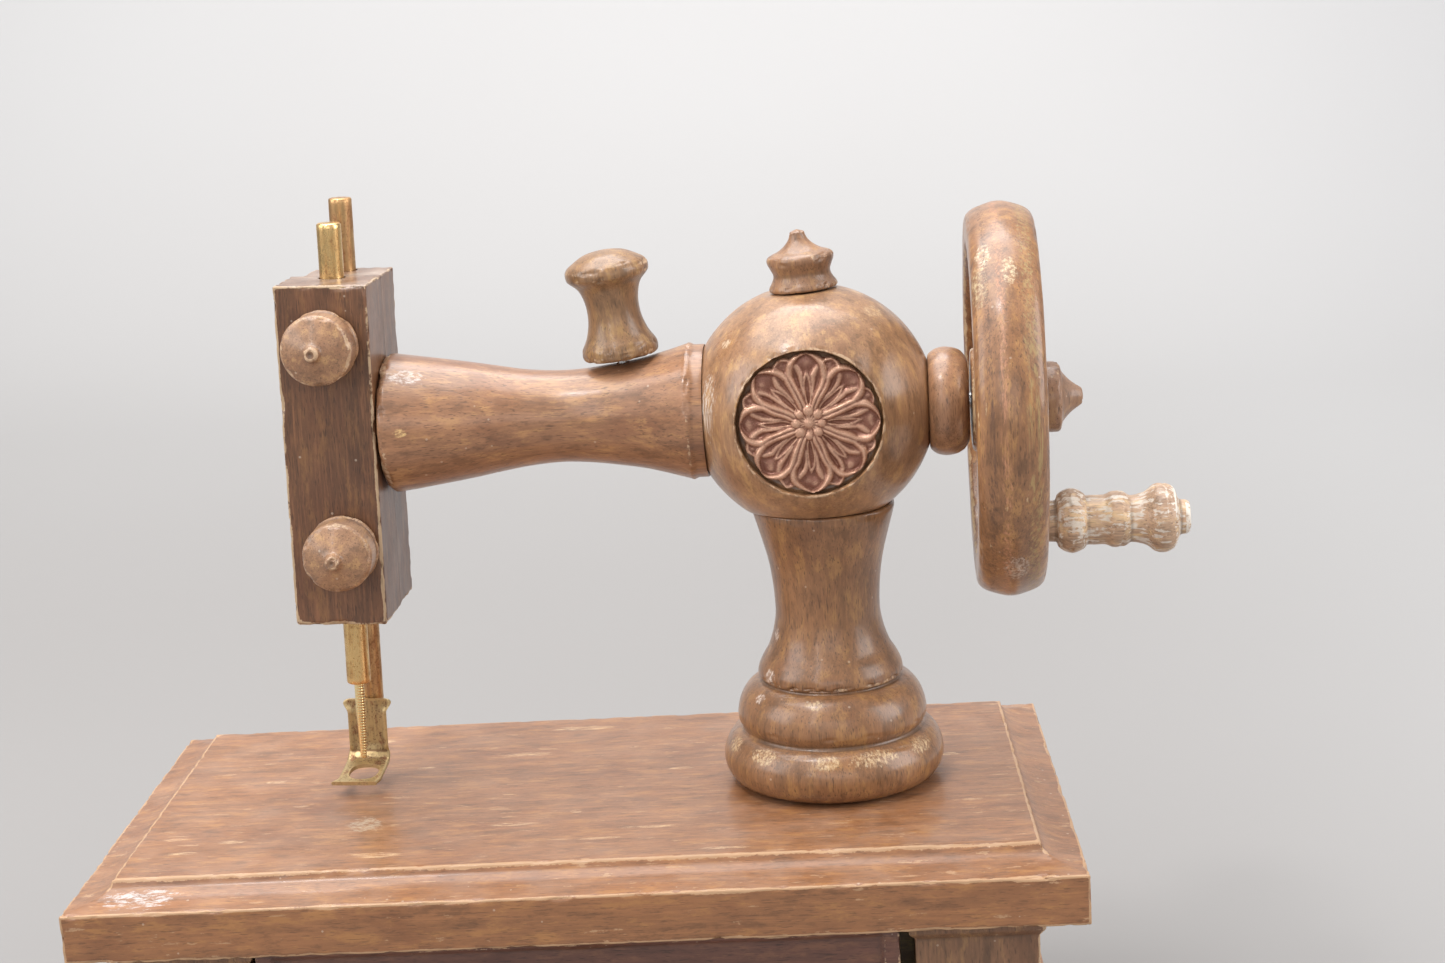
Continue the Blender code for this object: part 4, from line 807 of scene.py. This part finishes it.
def drawer_knob():
    low, high = box_mm("drawer_knob")
    seat = ((low.x + high.x) / 2, high.y, (low.z + high.z) / 2)
    line = [(0, 6.0), (1.5, 6.0), (1.5, 0), (4.2, 0)]
    line += spline([(4.2, 0.4), (3.8, 2.2), (3.2, 4.0), (6.2, 6.8), (7.6, 9.5), (6.6, 12.4), (3.6, 13.8),
                    (0, 14.1)])
    return turned(line, pointing(WORLD, (0, -1, 0), seat), 96, 0.4, 2)


piece("Drawer_Knob", drawer_knob(), KNOB_WOOD, "drawer_knob", dent=0.05, chip=0.3, seed=21)


# ---------------------------------------------------------------- column, ball and arm
def column():
    foot = FIELD_TOP + GAP - AXIS_Z
    line = [(3.4, foot), (22.6, foot)]
    torus = [(24.8, 6.0), (26.2, 8.2), (26.7, 11.3), (26.0, 14.1), (24.4, 16.6), (22.2, 17.8)]
    ring = [(21.9, 18.3), (22.9, 20.6), (22.6, 23.4), (21.7, 25.9), (20.2, 28.0), (18.5, 29.3), (17.1, 29.8)]
    neck = [(16.9, 30.1), (17.5, 31.0), (17.3, 32.8), (16.2, 35.2), (14.6, 38.0), (13.2, 42.5), (12.6, 48.0),
            (13.7, 59.0), (17.1, 71.6)]
    for part in (torus, ring, neck):
        line += [(r, z + BOARD_TOP - AXIS_Z) for r, z in spline(part)]
    top = -BALL_FLAT - TOUCH
    line += [(16.9, top), (5.2, top), (5.2, top - 5.5), (3.4, top - 5.5)]
    return turned(line, HEAD, 168, 0.55, 1)


piece("Column", column(), COLUMN_WOOD, "column", dent=0.16, chip=0.7, seed=31,
      calm=lambda p: 1 - above_flat(p + Vector((0, 0, 2))))


def ball():
    """A ball with the medallion's recess in front, flattened under and on top, and bored."""
    rim = math.degrees(math.acos(RECESS_R / BALL_R))
    lip = BALL_R * math.sin(math.radians(rim))
    line = arc((0, 0), BALL_R, -90, rim - 1.2, 1.6)
    line[0] = (0, -BALL_R)
    line += [(RECESS_R + 0.25, lip - 0.05), (RECESS_R - 0.1, lip - 0.6), (RECESS_R, RECESS_FLOOR)]
    line += [(0, RECESS_FLOOR)]
    bm = turned(line, pointing(HEAD, (0, -1, 0), (BALL_X, 0, 0)), 176, 0.7, 1)
    back = HEAD.inverted()
    for vert in bm.verts:
        ahead = -(back @ vert.co).y / MM
        vert.co.z += RECESS_RISE * MM * float(smooth_step(8, 17, ahead))
    outside = BALL_R + 5
    cutters = [span((-40, -40, -50), (40, 40, -BALL_FLAT), HEAD),
               rod(12.5, -outside, 11.5, HEAD, segments=48),
               rod(9.0, -outside, -4, HEAD, (1, 0, 0), segments=48),
               rod(2.8, 0, outside, HEAD, (1, 0, 0), segments=32),
               rod(BALL_R / 2, BALL_CROWN, outside, FINIAL, segments=48),
               rod(2.8, BALL_CROWN - 9.3, outside, FINIAL, segments=32)]
    return carved(bm, *cutters)


piece("Ball", ball(), BALL_WOOD, "ball_housing", dent=0.12, chip=0.5, seed=37, calm=above_flat)


def finial():
    foot = BALL_CROWN + GAP
    line = [(0, foot - 8.6), (2.5, foot - 8.6), (2.5, foot), (7.9, foot), (8.1, foot + 0.5)]
    line += [(7.9, foot + 1.2)]
    line += spline([(7.3, 30.2), (6.8, 31.3), (6.75, 32.2), (7.2, 33.3), (7.8, 34.7), (7.9, 35.6)], 5)
    line += [(7.6, 36.2), (6.9, 36.6)]
    line += spline([(5.2, 37.2), (3.6, 38.3), (2.4, 39.6), (1.9, 40.7), (1.6, 41.5), (0, 42.1)])
    return turned(line, FINIAL, 96, 0.35, 1)


piece("Ball_Finial", finial(), FINIAL_WOOD, "ball_finial", dent=0.08, chip=0.5, seed=41)


def flower():
    """A pressed flower: eight veined petals over eight small ones, round a cluster of beads."""
    radius, floor, spokes, rings = RECESS_R - 0.5, RECESS_FLOOR + GAP, 288, 72
    petals = 8
    sector = 2 * math.pi / petals
    beads = [(0, 0, 1.4)] + [(2.9 * math.cos(k * sector), 2.9 * math.sin(k * sector), 1.15 + 0.15 * (k % 3))
                             for k in range(petals)]

    def petal(x, y, turn, reach, width):
        """How far a point is inside a petal, and where it lies along and across it."""
        angle = (math.atan2(y, x) - turn + sector / 2) % sector - sector / 2
        r = math.hypot(x, y)
        along, across = r * math.cos(angle), abs(r * math.sin(angle))
        t = along / reach
        if t >= 1:
            return -1.0, t, across
        body = width * (0.20 + 0.80 * min(1.0, t / 0.66) ** 1.15)
        tip = math.sqrt(max(0.0, 1 - max(0.0, (t - 0.66) / 0.34) ** 2.6))
        return body * tip - across, t, across

    def roll(inside, width, high, deep, span_in):
        """A rounded rim that falls into a hollow."""
        rise = math.sqrt(max(0.0, 1 - max(0.0, 1 - inside / width) ** 2))
        return high * rise - (high - deep) * float(smooth_step(width * 0.9, width + span_in, inside))

    def height(x, y):
        warped_x, warped_y = (c + 0.5 * noise.noise(Vector((x / 4.5, y / 4.5, layer)))
                              for c, layer in ((x, 3.5), (y, 9.5)))
        big, t, across = petal(warped_x, warped_y, math.pi / 2, radius, 5.15)
        small, _, side = petal(warped_x, warped_y, math.pi / 2 + sector / 2, radius * 0.985, 3.9)
        uneven = 0.25 * noise.noise(Vector((x, y, 7)) / 2.5)
        level = 0.15
        if small > 0:
            level = 0.25 + roll(small, 1.2, 1.45, 0.85, 1.0) + 0.3 * math.exp(-(side / 0.6) ** 2) + uneven
        if big > 0:
            open_part = min(1.0, max(0.0, (t - 0.24) / 0.46))
            vein_half = 0.75 * math.sin(math.pi * open_part) ** 0.7 if 0 < open_part < 1 else 0
            vein = math.exp(-((across - vein_half) / 0.30) ** 2) * float(smooth_step(0.14, 0.30, t))
            vein *= 1 - float(smooth_step(0.68, 0.76, t))
            bulge = 0.45 * math.sin(math.pi * min(1.0, t + 0.05)) + 0.35 * math.exp(-((t - 0.87) / 0.10) ** 2)
            level = max(level, 0.35 + roll(big, 1.35, 1.65, 0.35, 1.2) + bulge + 0.5 * vein + uneven)
        for bx, by, size in beads:
            gap = math.hypot(x - bx, y - by)
            if gap < size:
                level = max(level, 1.75 + 0.95 * math.sqrt(1 - (gap / size) ** 2))
        return min(level, 2.85)

    def reach(angle):
        """The scalloped outline."""
        r = radius
        while r > radius * 0.7:
            x, y = r * math.cos(angle), r * math.sin(angle)
            if petal(x, y, math.pi / 2, radius, 5.15)[0] > 0 or \
                    petal(x, y, math.pi / 2 + sector / 2, radius * 0.985, 3.6)[0] > 0:
                return r
            r -= 0.05
        return r

    bm = bmesh.new()
    angles = [2 * math.pi * i / spokes for i in range(spokes)]
    reaches = [reach(a) for a in angles]
    made = [[bm.verts.new((0, 0, floor))]]
    made.append([bm.verts.new((r * math.cos(a), r * math.sin(a), floor)) for a, r in zip(angles, reaches)])
    for ring in range(rings, 0, -1):
        share = ring / rings
        row = []
        for a, r in zip(angles, reaches):
            x, y = r * share * math.cos(a), r * share * math.sin(a)
            row.append(bm.verts.new((x, y, floor + height(x, y))))
        made.append(row)
    made.append([bm.verts.new((0, 0, floor + height(0, 0)))])
    skin(bm, made)
    return placed(bm, RECESS)


piece("Flower_Medallion", flower(), FLOWER_COPPER, "flower_medallion", crease=80, dent=0.03, chip=0.0,
      seed=43)


def arm():
    end = -102.5
    waist = spline([(16.7, end + 1.4), (14.3, -85.0), (11.6, -69.0), (11.1, -57.0), (13.1, -42.0),
                    (16.0, -30.8)])
    seat, collar, tenon = BALL_R + TOUCH, 15.8, 8.7
    edges = [-math.degrees(math.acos(r / seat)) for r in (collar, tenon)]
    line = [(3.4, end), (15.8, end)] + waist + [(16.3, -30.2), (16.3, -29.6), (16.0, -29.2), (collar, -28.9)]
    line += arc((0, BALL_X), seat, *edges, 3) + [(tenon, -17.9), (3.4, -17.9)]
    hole = rod(1.6, 6, 20, SPOOL @ Matrix.Translation((0, 0, -SPOOL_FOOT * MM)), segments=24)
    return carved(turned(line, ALONG_X, 144, 0.6, 1), hole)


piece("Arm", arm(), ARM_WOOD, "arm", dent=0.14, chip=0.6, seed=47, calm=off_ball)


def spool():
    line = [(0, 14.5), (1.7, 14.5), (1.7, 0), (8.0, 0), (8.8, 0.5), (9.1, 1.3), (9.0, 2.7)]
    line += spline([(8.7, 3.4), (7.4, 5.8), (6.4, 9.5), (6.4, 13.5), (7.4, 17.0), (9.3, 19.0)])
    line += [(9.8, 19.6), (9.95, 20.4), (9.9, 21.5), (9.5, 22.2)]
    line += spline([(8.9, 22.8), (5.4, 24.8), (2.4, 25.5), (0, 25.6)], 6)
    return turned(line, SPOOL, 96, 0.4, 1)


piece("Spool_Knob", spool(), SPOOL_WOOD, "spool_knob", dent=0.12, chip=0.6, seed=53)


# ---------------------------------------------------------------- end block
HALF = Vector((21.9, 31.0, 81.2)) / 2


def shaft_height():
    """Where the main shaft crosses the block, above the block's middle."""
    spot = Vector(JOINTS["wheel_spin"]["pos_m"])
    local = BLOCK.inverted() @ (spot + WHEEL_AXIS * ((BLOCK.translation - spot).dot(WHEEL_AXIS)))
    return local.z / MM


def block_cutters(bar_y, bar_r):
    z = shaft_height()
    return [rod(3.0, -4, 20, BLOCK, (1, 0, 0), (0, 0, z), 32),
            rod(bar_r + GAP, -60, 60, BLOCK, origin=(0, bar_y, 0)),
            span((4.5, -7.8, z - 8), (8.3, 7.8, z + 8), BLOCK),
            span((-4.6, -7.2, z - 11.5), (4.8, 6.6, z + 11.5), BLOCK)]


NEEDLE_Y, PRESSER_Y = -2.0, 11.0
NEEDLE_R, PRESSER_R = 2.9, 2.8
BUTTONS = {node: BLOCK.inverted() @ middle(node) / MM for node in ("upper_button", "lower_button")}
BUTTON_R = 8.3


def half_block(low, high, kept_low, kept_high):
    """One half: a whole rounded block, cut off square at the seam."""
    bm = block(low, high, BLOCK, 1.3, 0.6, seed=2)
    far = 60
    beyond = span((-far, kept_high, -far), (far, far, far), BLOCK)
    before = span((-far, -far, -far), (far, kept_low, far), BLOCK)
    return carved(bm, beyond, before)


SEAM_GAP = 0.04              # the halves' wood meets in the photo, so the looks close the 0.3 mm gap
front_half = half_block(-HALF, HALF, -40, SEAM - SEAM_GAP / 2)
button_holes = [rod(2.4, HALF.y - 5.5, HALF.y + 9, BLOCK, (0, -1, 0), (spot.x, 0, spot.z), 32)
                for spot in BUTTONS.values()]
piece("Head_Front_Half", carved(front_half, *block_cutters(NEEDLE_Y, NEEDLE_R), *button_holes), BLOCK_WOOD,
      "head_front_half", dent=0.10, chip=0.7, seed=59, calm=off_seam)
back_half = half_block(-HALF + Vector((3, 0, 0)), HALF, SEAM + SEAM_GAP / 2, 40)
notch = span((-HALF.x - 9, 12.5, -60), (-HALF.x + 6, HALF.y + 9, 60), BLOCK)
piece("Head_Back_Half", carved(back_half, notch, *block_cutters(PRESSER_Y, PRESSER_R)), BLOCK_WOOD,
      "head_back_half", dent=0.10, chip=0.7, seed=59, calm=off_seam)

for node, spot in BUTTONS.items():
    side = [(-0.2, GAP), (0.15, 0.7), (0.15, 1.5), (-0.4, 2.1), (-0.4, 2.4), (0, 3.0), (0, 8.1), (-0.3, 8.7)]
    line = [(0, -5.0), (2.1, -5.0), (2.1, GAP)] + [(BUTTON_R + r, z) for r, z in side]
    line += spline([(BUTTON_R - 0.8, 9.0), (4.4, 10.4), (2.5, 11.3), (1.9, 12.1), (1.7, 13.1), (1.1, 13.6),
                    (0, 13.3)], 6)
    bm = turned(line, pointing(BLOCK, (0, -1, 0), (spot.x, -HALF.y, spot.z)), 96, 0.35, 1)
    piece(node.title(), bm, BUTTON_WOOD, node, dent=0.10, chip=0.5, seed=spot.z)


# ---------------------------------------------------------------- bars, needle and foot
BOARD_LEVEL = -91.0          # the board's edge level along the bars, from the block's middle
TOP_BAR, LOW_BAR = BOARD_LEVEL + 144.5, BOARD_LEVEL + 32.0
NEEDLE_TIP = BOARD_LEVEL + 12.5


def needle_bar():
    r, low, top = NEEDLE_R, LOW_BAR, TOP_BAR
    line = [(0, low + 7.5), (1.5, low + 7.5), (1.5, low), (r - 0.4, low), (r - 0.1, low + 0.2), (r, low + 0.5),
            (r, top - 0.5), (r - 0.15, top - 0.2), (r - 0.5, top), (0, top)]
    return turned(line, pointing(BLOCK, UP, (0, NEEDLE_Y, 0)), 56, 0.8, 0)


piece("Needle_Bar", needle_bar(), BAR_BRASS, "needle_bar", dent=0.03, chip=0.0, seed=71)


def needle():
    """A thin pin with fine turned rings, cut to a blunt wedge at its tip."""
    tip, top = NEEDLE_TIP, LOW_BAR + 7.0
    line = [(0, tip), (0.6, tip), (0.75, tip + 0.3), (1.2, tip + 12.0), (1.2, top), (0, top)]

    def ridged(r, z, angle):
        ring = 0.5 + 0.5 * math.sin(2 * math.pi * z / 0.7 + angle)
        right = max(0.0, math.cos(angle + 0.4))
        return r - 0.10 * ring * right * (1 if r > 0.6 else 0)

    return turned(line, pointing(BLOCK, UP, (0, NEEDLE_Y, 0)), 40, 0.12, 0, ridged)


piece("Needle", needle(), NEEDLE_BRASS, "needle", crease=80, dent=0.0, chip=0.0, seed=73)


def presser_bar():
    r, low, top = PRESSER_R, BOARD_LEVEL + 21.5, BOARD_LEVEL + 149.0
    line = [(0, low), (r - 0.2, low), (r, low + 0.3), (r, top - 0.4), (r - 0.15, top - 0.15), (r - 0.4, top),
            (0, top)]
    return turned(line, pointing(BLOCK, UP, (0, PRESSER_Y, 0)), 56, 0.8, 0)


piece("Presser_Bar", presser_bar(), BAR_DARK_BRASS, "presser_bar", dent=0.04, chip=0.0, seed=79)


def presser_foot():
    """Bent sheet: flared ears, an upright with its sides bent forward, a sole with an oval hole."""
    sheet, rise = 1.0, BOARD_LEVEL
    front = -PRESSER_R - GAP - sheet / 2
    path = [(front, 24.6 + rise), (front, 22.4 + rise), (front, 13.0 + rise)]
    path += spline([(front - 0.4, 11.0 + rise), (front - 2.2, 9.4 + rise), (front - 4.8, 8.8 + rise)])
    path += [(front - 15.2, 7.8 + rise)]
    path = eased(resampled(path, 0.3), 1)
    across = 28
    bm = bmesh.new()
    layers = ([], [])
    for i, (y, z) in enumerate(path):
        before, after = Vector(path[max(i - 1, 0)]), Vector(path[min(i + 1, len(path) - 1)])
        run = (after - before).normalized()
        normal = Vector((-run.y, run.x))
        above = z - rise
        ears = float(smooth_step(21.2, 23.8, above))
        half = 5.3 + 0.8 * ears - 0.45 * float(smooth_step(9.5, 12.5, above)) * (1 - ears)
        half -= 1.3 - 1.3 * math.sqrt(max(0.0, 1 - (max(0.0, above - 23.3) / 1.3) ** 2))
        sole = -y + front
        tip = float(smooth_step(12.5, 15.2, sole))
        for layer, side in zip(layers, (0.5, -0.5)):
            row = []
            for k in range(across + 1):
                u = 2 * k / across - 1
                curl = 0.9 * abs(u) ** 3 * float(smooth_step(10.5, 13, above)) * (1 - 0.9 * ears)
                width = half * (1 + tip * (-0.12 if u > 0 else 0.24))
                offset = side * sheet * (1 if abs(u) < 0.999 else 0.55)
                spot = Vector((u * width - 0.6, y + normal.x * offset - curl, z + normal.y * offset))
                row.append(bm.verts.new(spot))
            layer.append(row)
    for rows in layers:
        for a, b in zip(rows, rows[1:]):
            for k in range(across):
                bm.faces.new((a[k], a[k + 1], b[k + 1], b[k]))
    front_rows, back_rows = layers
    for k in (0, across):
        for i in range(len(path) - 1):
            bm.faces.new((front_rows[i][k], front_rows[i + 1][k], back_rows[i + 1][k], back_rows[i][k]))
    for i in (0, len(path) - 1):
        for k in range(across):
            bm.faces.new((front_rows[i][k], front_rows[i][k + 1], back_rows[i][k + 1], back_rows[i][k]))
    place = pointing(BLOCK, UP, (0, PRESSER_Y, 0))
    hole = bmesh.new()
    outline = []
    hole_y = front - 9.4
    for k in range(64):
        a = 2 * math.pi * k / 64
        across_hole, along_hole = (math.copysign(abs(c) ** 0.8, c) for c in (math.cos(a), math.sin(a)))
        outline.append((3.6 * across_hole - 0.2, hole_y + 4.3 * along_hole))
    rings = []
    for z, centred in ((rise, True), (rise, False), (rise + 16.5, False), (rise + 16.5, True)):
        rings.append([hole.verts.new((x, y, z)) for x, y in ([(0, hole_y)] if centred else outline)])
    skin(hole, rings)
    return carved(placed(bm, place), placed(hole, place))


piece("Presser_Foot", presser_foot(), FOOT_BRASS, "presser_foot", crease=60, dent=0.05, chip=0.0, seed=83)


# ---------------------------------------------------------------- wheel and crank
SHAFT_R = 2.0
WEB, HUB_R, RIM_R = 4.0, 13.0, 35.0
FACE_R, WHEEL_R, WHEEL_HALF = 43.6, 46.2, 7.9
X0, X1 = WHEEL_X - WHEEL_HALF, WHEEL_X + WHEEL_HALF
GRIP_X = (HEAD.inverted() @ GRIP.translation).x / MM
GRIP_LINE = GRIP @ Matrix.Translation((-GRIP_X * MM, 0, 0))


def bead():
    seat, bore, face = BALL_R + TOUCH, SHAFT_R + GAP, 35.2
    edges = [math.degrees(math.acos(r / seat)) for r in (bore, 10.6)]
    line = arc((0, BALL_X), seat, *edges, 3)
    line += spline([(11.3, 26.1), (12.4, 27.6), (12.8, 30.2), (11.9, 33.4), (9.6, face)], 6) + [(bore, face)]
    return turned(line, ALONG_X, 112, 0.5, 1)


piece("Bearing_Bead", bead(), BEAD_WOOD, "bearing_bead", dent=0.08, chip=0.4, seed=89, calm=off_ball)


def opening(quarter):
    """A cutter for one wheel opening, flared where it meets the web's two faces."""
    def outline(grow):
        outer, inner = RIM_R - 0.6 + grow * 0.4, HUB_R + 3.5 - grow
        half_outer, half_inner = 30 + grow * 1.6, 18 + grow * 3.2
        centre = 45 + 90 * quarter
        points = arc((0, 0), outer, centre - half_outer, centre + half_outer, half_outer / 8)
        return points + arc((0, 0), inner, centre + half_inner, centre - half_inner, half_inner / 5)

    bm = bmesh.new()
    rings = []
    flare = [(WEB - 0.7, 0.1), (WEB + 0.15, 0.9), (15, 0.9)]
    stations = [(-x, grow) for x, grow in reversed(flare)] + [(0, 0)] + flare
    for x, grow in stations:
        rings.append([bm.verts.new((y, z, x)) for y, z in outline(grow)])
    skin(bm, rings)
    bm.faces.new(rings[0])
    bm.faces.new(rings[-1])
    return placed(bm, pointing(HEAD, (1, 0, 0), (WHEEL_X, 0, 0)))


def wheel():
    bore = SHAFT_R + GAP
    rim = [(RIM_R, WHEEL_X - WEB), (RIM_R + 1.2, X0 + 0.4), (RIM_R + 1.8, X0), (FACE_R - 1.2, X0)]
    rim += spline([(FACE_R - 0.2, X0 + 0.5), (FACE_R + 1.2, X0 + 2.4), (WHEEL_R, WHEEL_X),
                   (FACE_R + 1.2, X1 - 2.4), (FACE_R - 0.2, X1 - 0.5)])
    rim += [(FACE_R - 1.2, X1), (RIM_R + 1.8, X1), (RIM_R + 1.2, X1 - 0.4), (RIM_R, WHEEL_X + WEB)]
    line = [(bore, X0 + 0.2), (HUB_R - 1.0, X0 + 0.2), (HUB_R, WHEEL_X - WEB)] + rim
    line += [(HUB_R, WHEEL_X + WEB), (HUB_R - 1.0, X1 - 1.0), (bore, X1 - 1.0)]
    pin = rod(1.9, WHEEL_X - 20, WHEEL_X + 20, GRIP_LINE, (1, 0, 0), segments=24)
    return carved(turned(line, ALONG_X, 220, 0.9, 1), joined([pin] + [opening(q) for q in range(4)]))


piece("Hand_Wheel", wheel(), WHEEL_WOOD, "hand_wheel", dent=0.16, chip=0.6, seed=97)


def hub_cap():
    bore = SHAFT_R + GAP
    line = [(0, 3.0), (bore, 3.0), (bore, -0.7), (8.0, -0.7), (8.3, 0.4), (8.35, 2.4), (8.3, 4.6), (7.9, 5.1)]
    line += spline([(7.2, 5.3), (5.8, 5.8), (3.7, 7.7), (2.4, 9.5), (1.7, 10.3), (0, 10.6)])
    return turned([(r, X1 + x) for r, x in line], ALONG_X, 96, 0.35, 1)


piece("Hub_Cap", hub_cap(), CAP_WOOD, "hub_cap", dent=0.08, chip=0.5, seed=101)


def grip():
    start, end = WHEEL_X + WEB + 1.0, 78.0
    line = [(0, end), (1.8, end), (1.8, start), (4.8, start), (5.0, 54.8)]
    line += spline([(5.9, 55.1), (6.8, 55.8), (7.8, 58.4), (7.0, 61.0), (5.9, 62.0)], 5)
    line += spline([(6.0, 63.6), (6.0, 66.2), (6.7, 68.0), (6.7, 70.4), (5.6, 72.2)], 5)
    line += spline([(5.7, 73.4), (6.4, 75.8), (8.0, 78.0), (8.3, 80.4), (7.3, 82.6)], 5)
    line += [(4.6, 83.6), (4.2, 84.0), (4.1, 85.4), (3.6, 86.2), (0, 86.6)]
    return turned(line, pointing(GRIP_LINE, (1, 0, 0)), 96, 0.4, 1)


piece("Crank_Grip", grip(), GRIP_WOOD, "crank_grip", dent=0.16, chip=0.7, seed=103)


# ---------------------------------------------------------------- movement
def pinned_cylinder():
    """The music cylinder, with its tune pins in one row for each comb tooth."""
    low, high = box_mm("music_cylinder")
    radius = (high.x - low.x) / 2
    centre = ((low.x + high.x) / 2, (low.y + high.y) / 2, 0)
    line = [(2.3, low.z), (radius - 0.8, low.z), (radius - 0.5, low.z + 0.3), (radius - 0.5, high.z - 0.3),
            (radius - 0.8, high.z), (2.3, high.z)]
    place = pointing(WORLD, UP, centre)
    bm = turned(line, place, 72, 2.0, 0)
    pins = bmesh.new()
    rows = 18
    for row in range(rows):
        z = low.z + 1.4 + (high.z - low.z - 2.8) * row / (rows - 1)
        for k in range(5):
            turn = 2 * math.pi * (0.618 * (row * 5 + k) % 1.0)
            spot = Matrix.Rotation(turn, 4, "Z") @ Matrix.Translation((radius - 0.7, 0, z))
            bmesh.ops.create_cone(pins, cap_ends=True, segments=8, radius1=0.2, radius2=0.2, depth=1.2,
                                  matrix=spot @ Matrix.Rotation(math.pi / 2, 4, "Y"))
    return joined([bm, placed(pins, place)])


piece("Music_Cylinder", pinned_cylinder(), WORK_BRASS, "music_cylinder", crease=40, dent=0.0, chip=0.0)

for node, cad in frame["nodes"].items():
    if cad.hide_render:
        continue
    slot = SLOT_OF[node]
    finish = {"brass": WORK_BRASS, "dark_brass": PLATE_BRASS, "steel": STEEL}.get(slot, COLUMN_WOOD)
    cad.data.materials.clear()
    cad.data.materials.append(finish)
    print("CAD node kept:", node, slot)


# ---------------------------------------------------------------- stage, light and camera
def stage():
    """A pale seamless sweep: floor, wide curve, wall."""
    line = [(-2.2, 0.0), (0.9, 0.0)]
    line += [(0.9 + 0.9 * math.sin(a), 0.9 - 0.9 * math.cos(a)) for a in
             (math.radians(d) for d in range(5, 91, 5))]
    line += [(1.8, 3.4)]
    bm = bmesh.new()
    rows = [[bm.verts.new((x, y, z)) for x in (-3.5, 3.5)] for y, z in line]
    for a, b in zip(rows, rows[1:]):
        bm.faces.new((a[0], a[1], b[1], b[0]))
    mesh = bpy.data.meshes.new("Backdrop")
    bm.to_mesh(mesh)
    bm.free()
    mesh.shade_smooth()
    made = Finish("backdrop_paper_painted_light")
    cloud = made.noise(made.space(WORLD, (600, 600, 600)), 2)
    depth = made.node("SeparateXYZ", {0: made.space(WORLD, (1, 1, 1))}).outputs["Y"]
    # Painted light: the paper is darker on the near floor and brighter on the far wall, and towards the right the
    # floor is brighter and the wall a little darker, standing in for how the lamps fall on the sweep; the cloud is
    # the paper's own uneven tone.
    near = made.mix(cloud, (0.262, 0.250, 0.243), (0.280, 0.270, 0.266))
    far = made.mix(cloud, (0.50, 0.49, 0.487), (0.53, 0.525, 0.525))
    aside = made.node("SeparateXYZ", {0: made.space(WORLD, (1, 1, 1))}).outputs["X"]
    near = made.mix(made.step(aside, 80, 420), near, (0.335, 0.328, 0.326))
    far = made.mix(made.step(aside, 150, 900), far, (0.47, 0.465, 0.47))
    paper_tone_and_painted_light = made.mix(made.step(depth, 300, 1800), near, far)
    mesh.materials.append(made.finish(paper_tone_and_painted_light, 0.9))
    sweep = bpy.data.objects.new("Backdrop", mesh)
    bpy.context.scene.collection.objects.link(sweep)


def softbox(name, spot, target, size, power, tint=(1, 1, 1)):
    lamp = bpy.data.lights.new(name, "AREA")
    lamp.shape = "RECTANGLE"
    lamp.size, lamp.size_y = size
    lamp.energy = power
    lamp.color = tint
    made = bpy.data.objects.new(name, lamp)
    made.location = spot
    made.rotation_euler = (Vector(target) - Vector(spot)).to_track_quat("-Z", "Y").to_euler()
    bpy.context.scene.collection.objects.link(made)


def camera():
    """The camera stands a little above the arm, in front and to the right of the middle."""
    yaw, pitch, roll = -0.0370, 0.2226, -0.0551
    ahead = Vector((math.sin(yaw) * math.cos(pitch), math.cos(yaw) * math.cos(pitch), -math.sin(pitch)))
    right = Vector((math.cos(yaw), -math.sin(yaw), 0))
    up = right.cross(ahead)
    turned_right = right * math.cos(roll) + up * math.sin(roll)
    turned_up = up * math.cos(roll) - right * math.sin(roll)
    data = bpy.data.cameras.new("Camera")
    data.lens = 58.21
    data.sensor_width = 36
    data.clip_start = 0.01
    made = bpy.data.objects.new("Camera", data)
    turn = Matrix((turned_right, turned_up, -ahead)).transposed().to_4x4()
    made.matrix_world = Matrix.Translation((0.05643, -0.54149, 0.27727)) @ turn
    bpy.context.scene.collection.objects.link(made)
    bpy.context.scene.camera = made


stage()
softbox("Overhead", (-0.15, 0.15, 1.25), (0, 0, 0.1), (1.3, 1.0), 19)
softbox("Window", (-0.30, -0.42, 1.15), (0, 0, 0.15), (0.16, 0.13), 2.5)
softbox("Front", (0.10, -1.50, 0.50), (0, 0, 0.12), (1.2, 0.5), 2.5)
softbox("Strip", (-0.55, -1.25, 1.05), (0.08, 0, 0.15), (0.12, 1.5), 4.0)
softbox("Left", (-1.25, -0.45, 0.75), (0, 0, 0.12), (0.9, 0.9), 9)
softbox("Right", (1.25, -0.30, 0.65), (0, 0, 0.12), (0.8, 1.0), 11)
softbox("Backdrop_Light", (0.0, 0.75, 1.5), (0.1, 1.7, 0.6), (1.8, 0.5), 18)
world = bpy.data.worlds.new("Studio")
world.use_nodes = True
world.node_tree.nodes["Background"].inputs["Color"].default_value = (1, 1, 1, 1)
world.node_tree.nodes["Background"].inputs["Strength"].default_value = 0.5
bpy.context.scene.world = world
bpy.context.scene.view_settings.view_transform = "Standard"
camera()
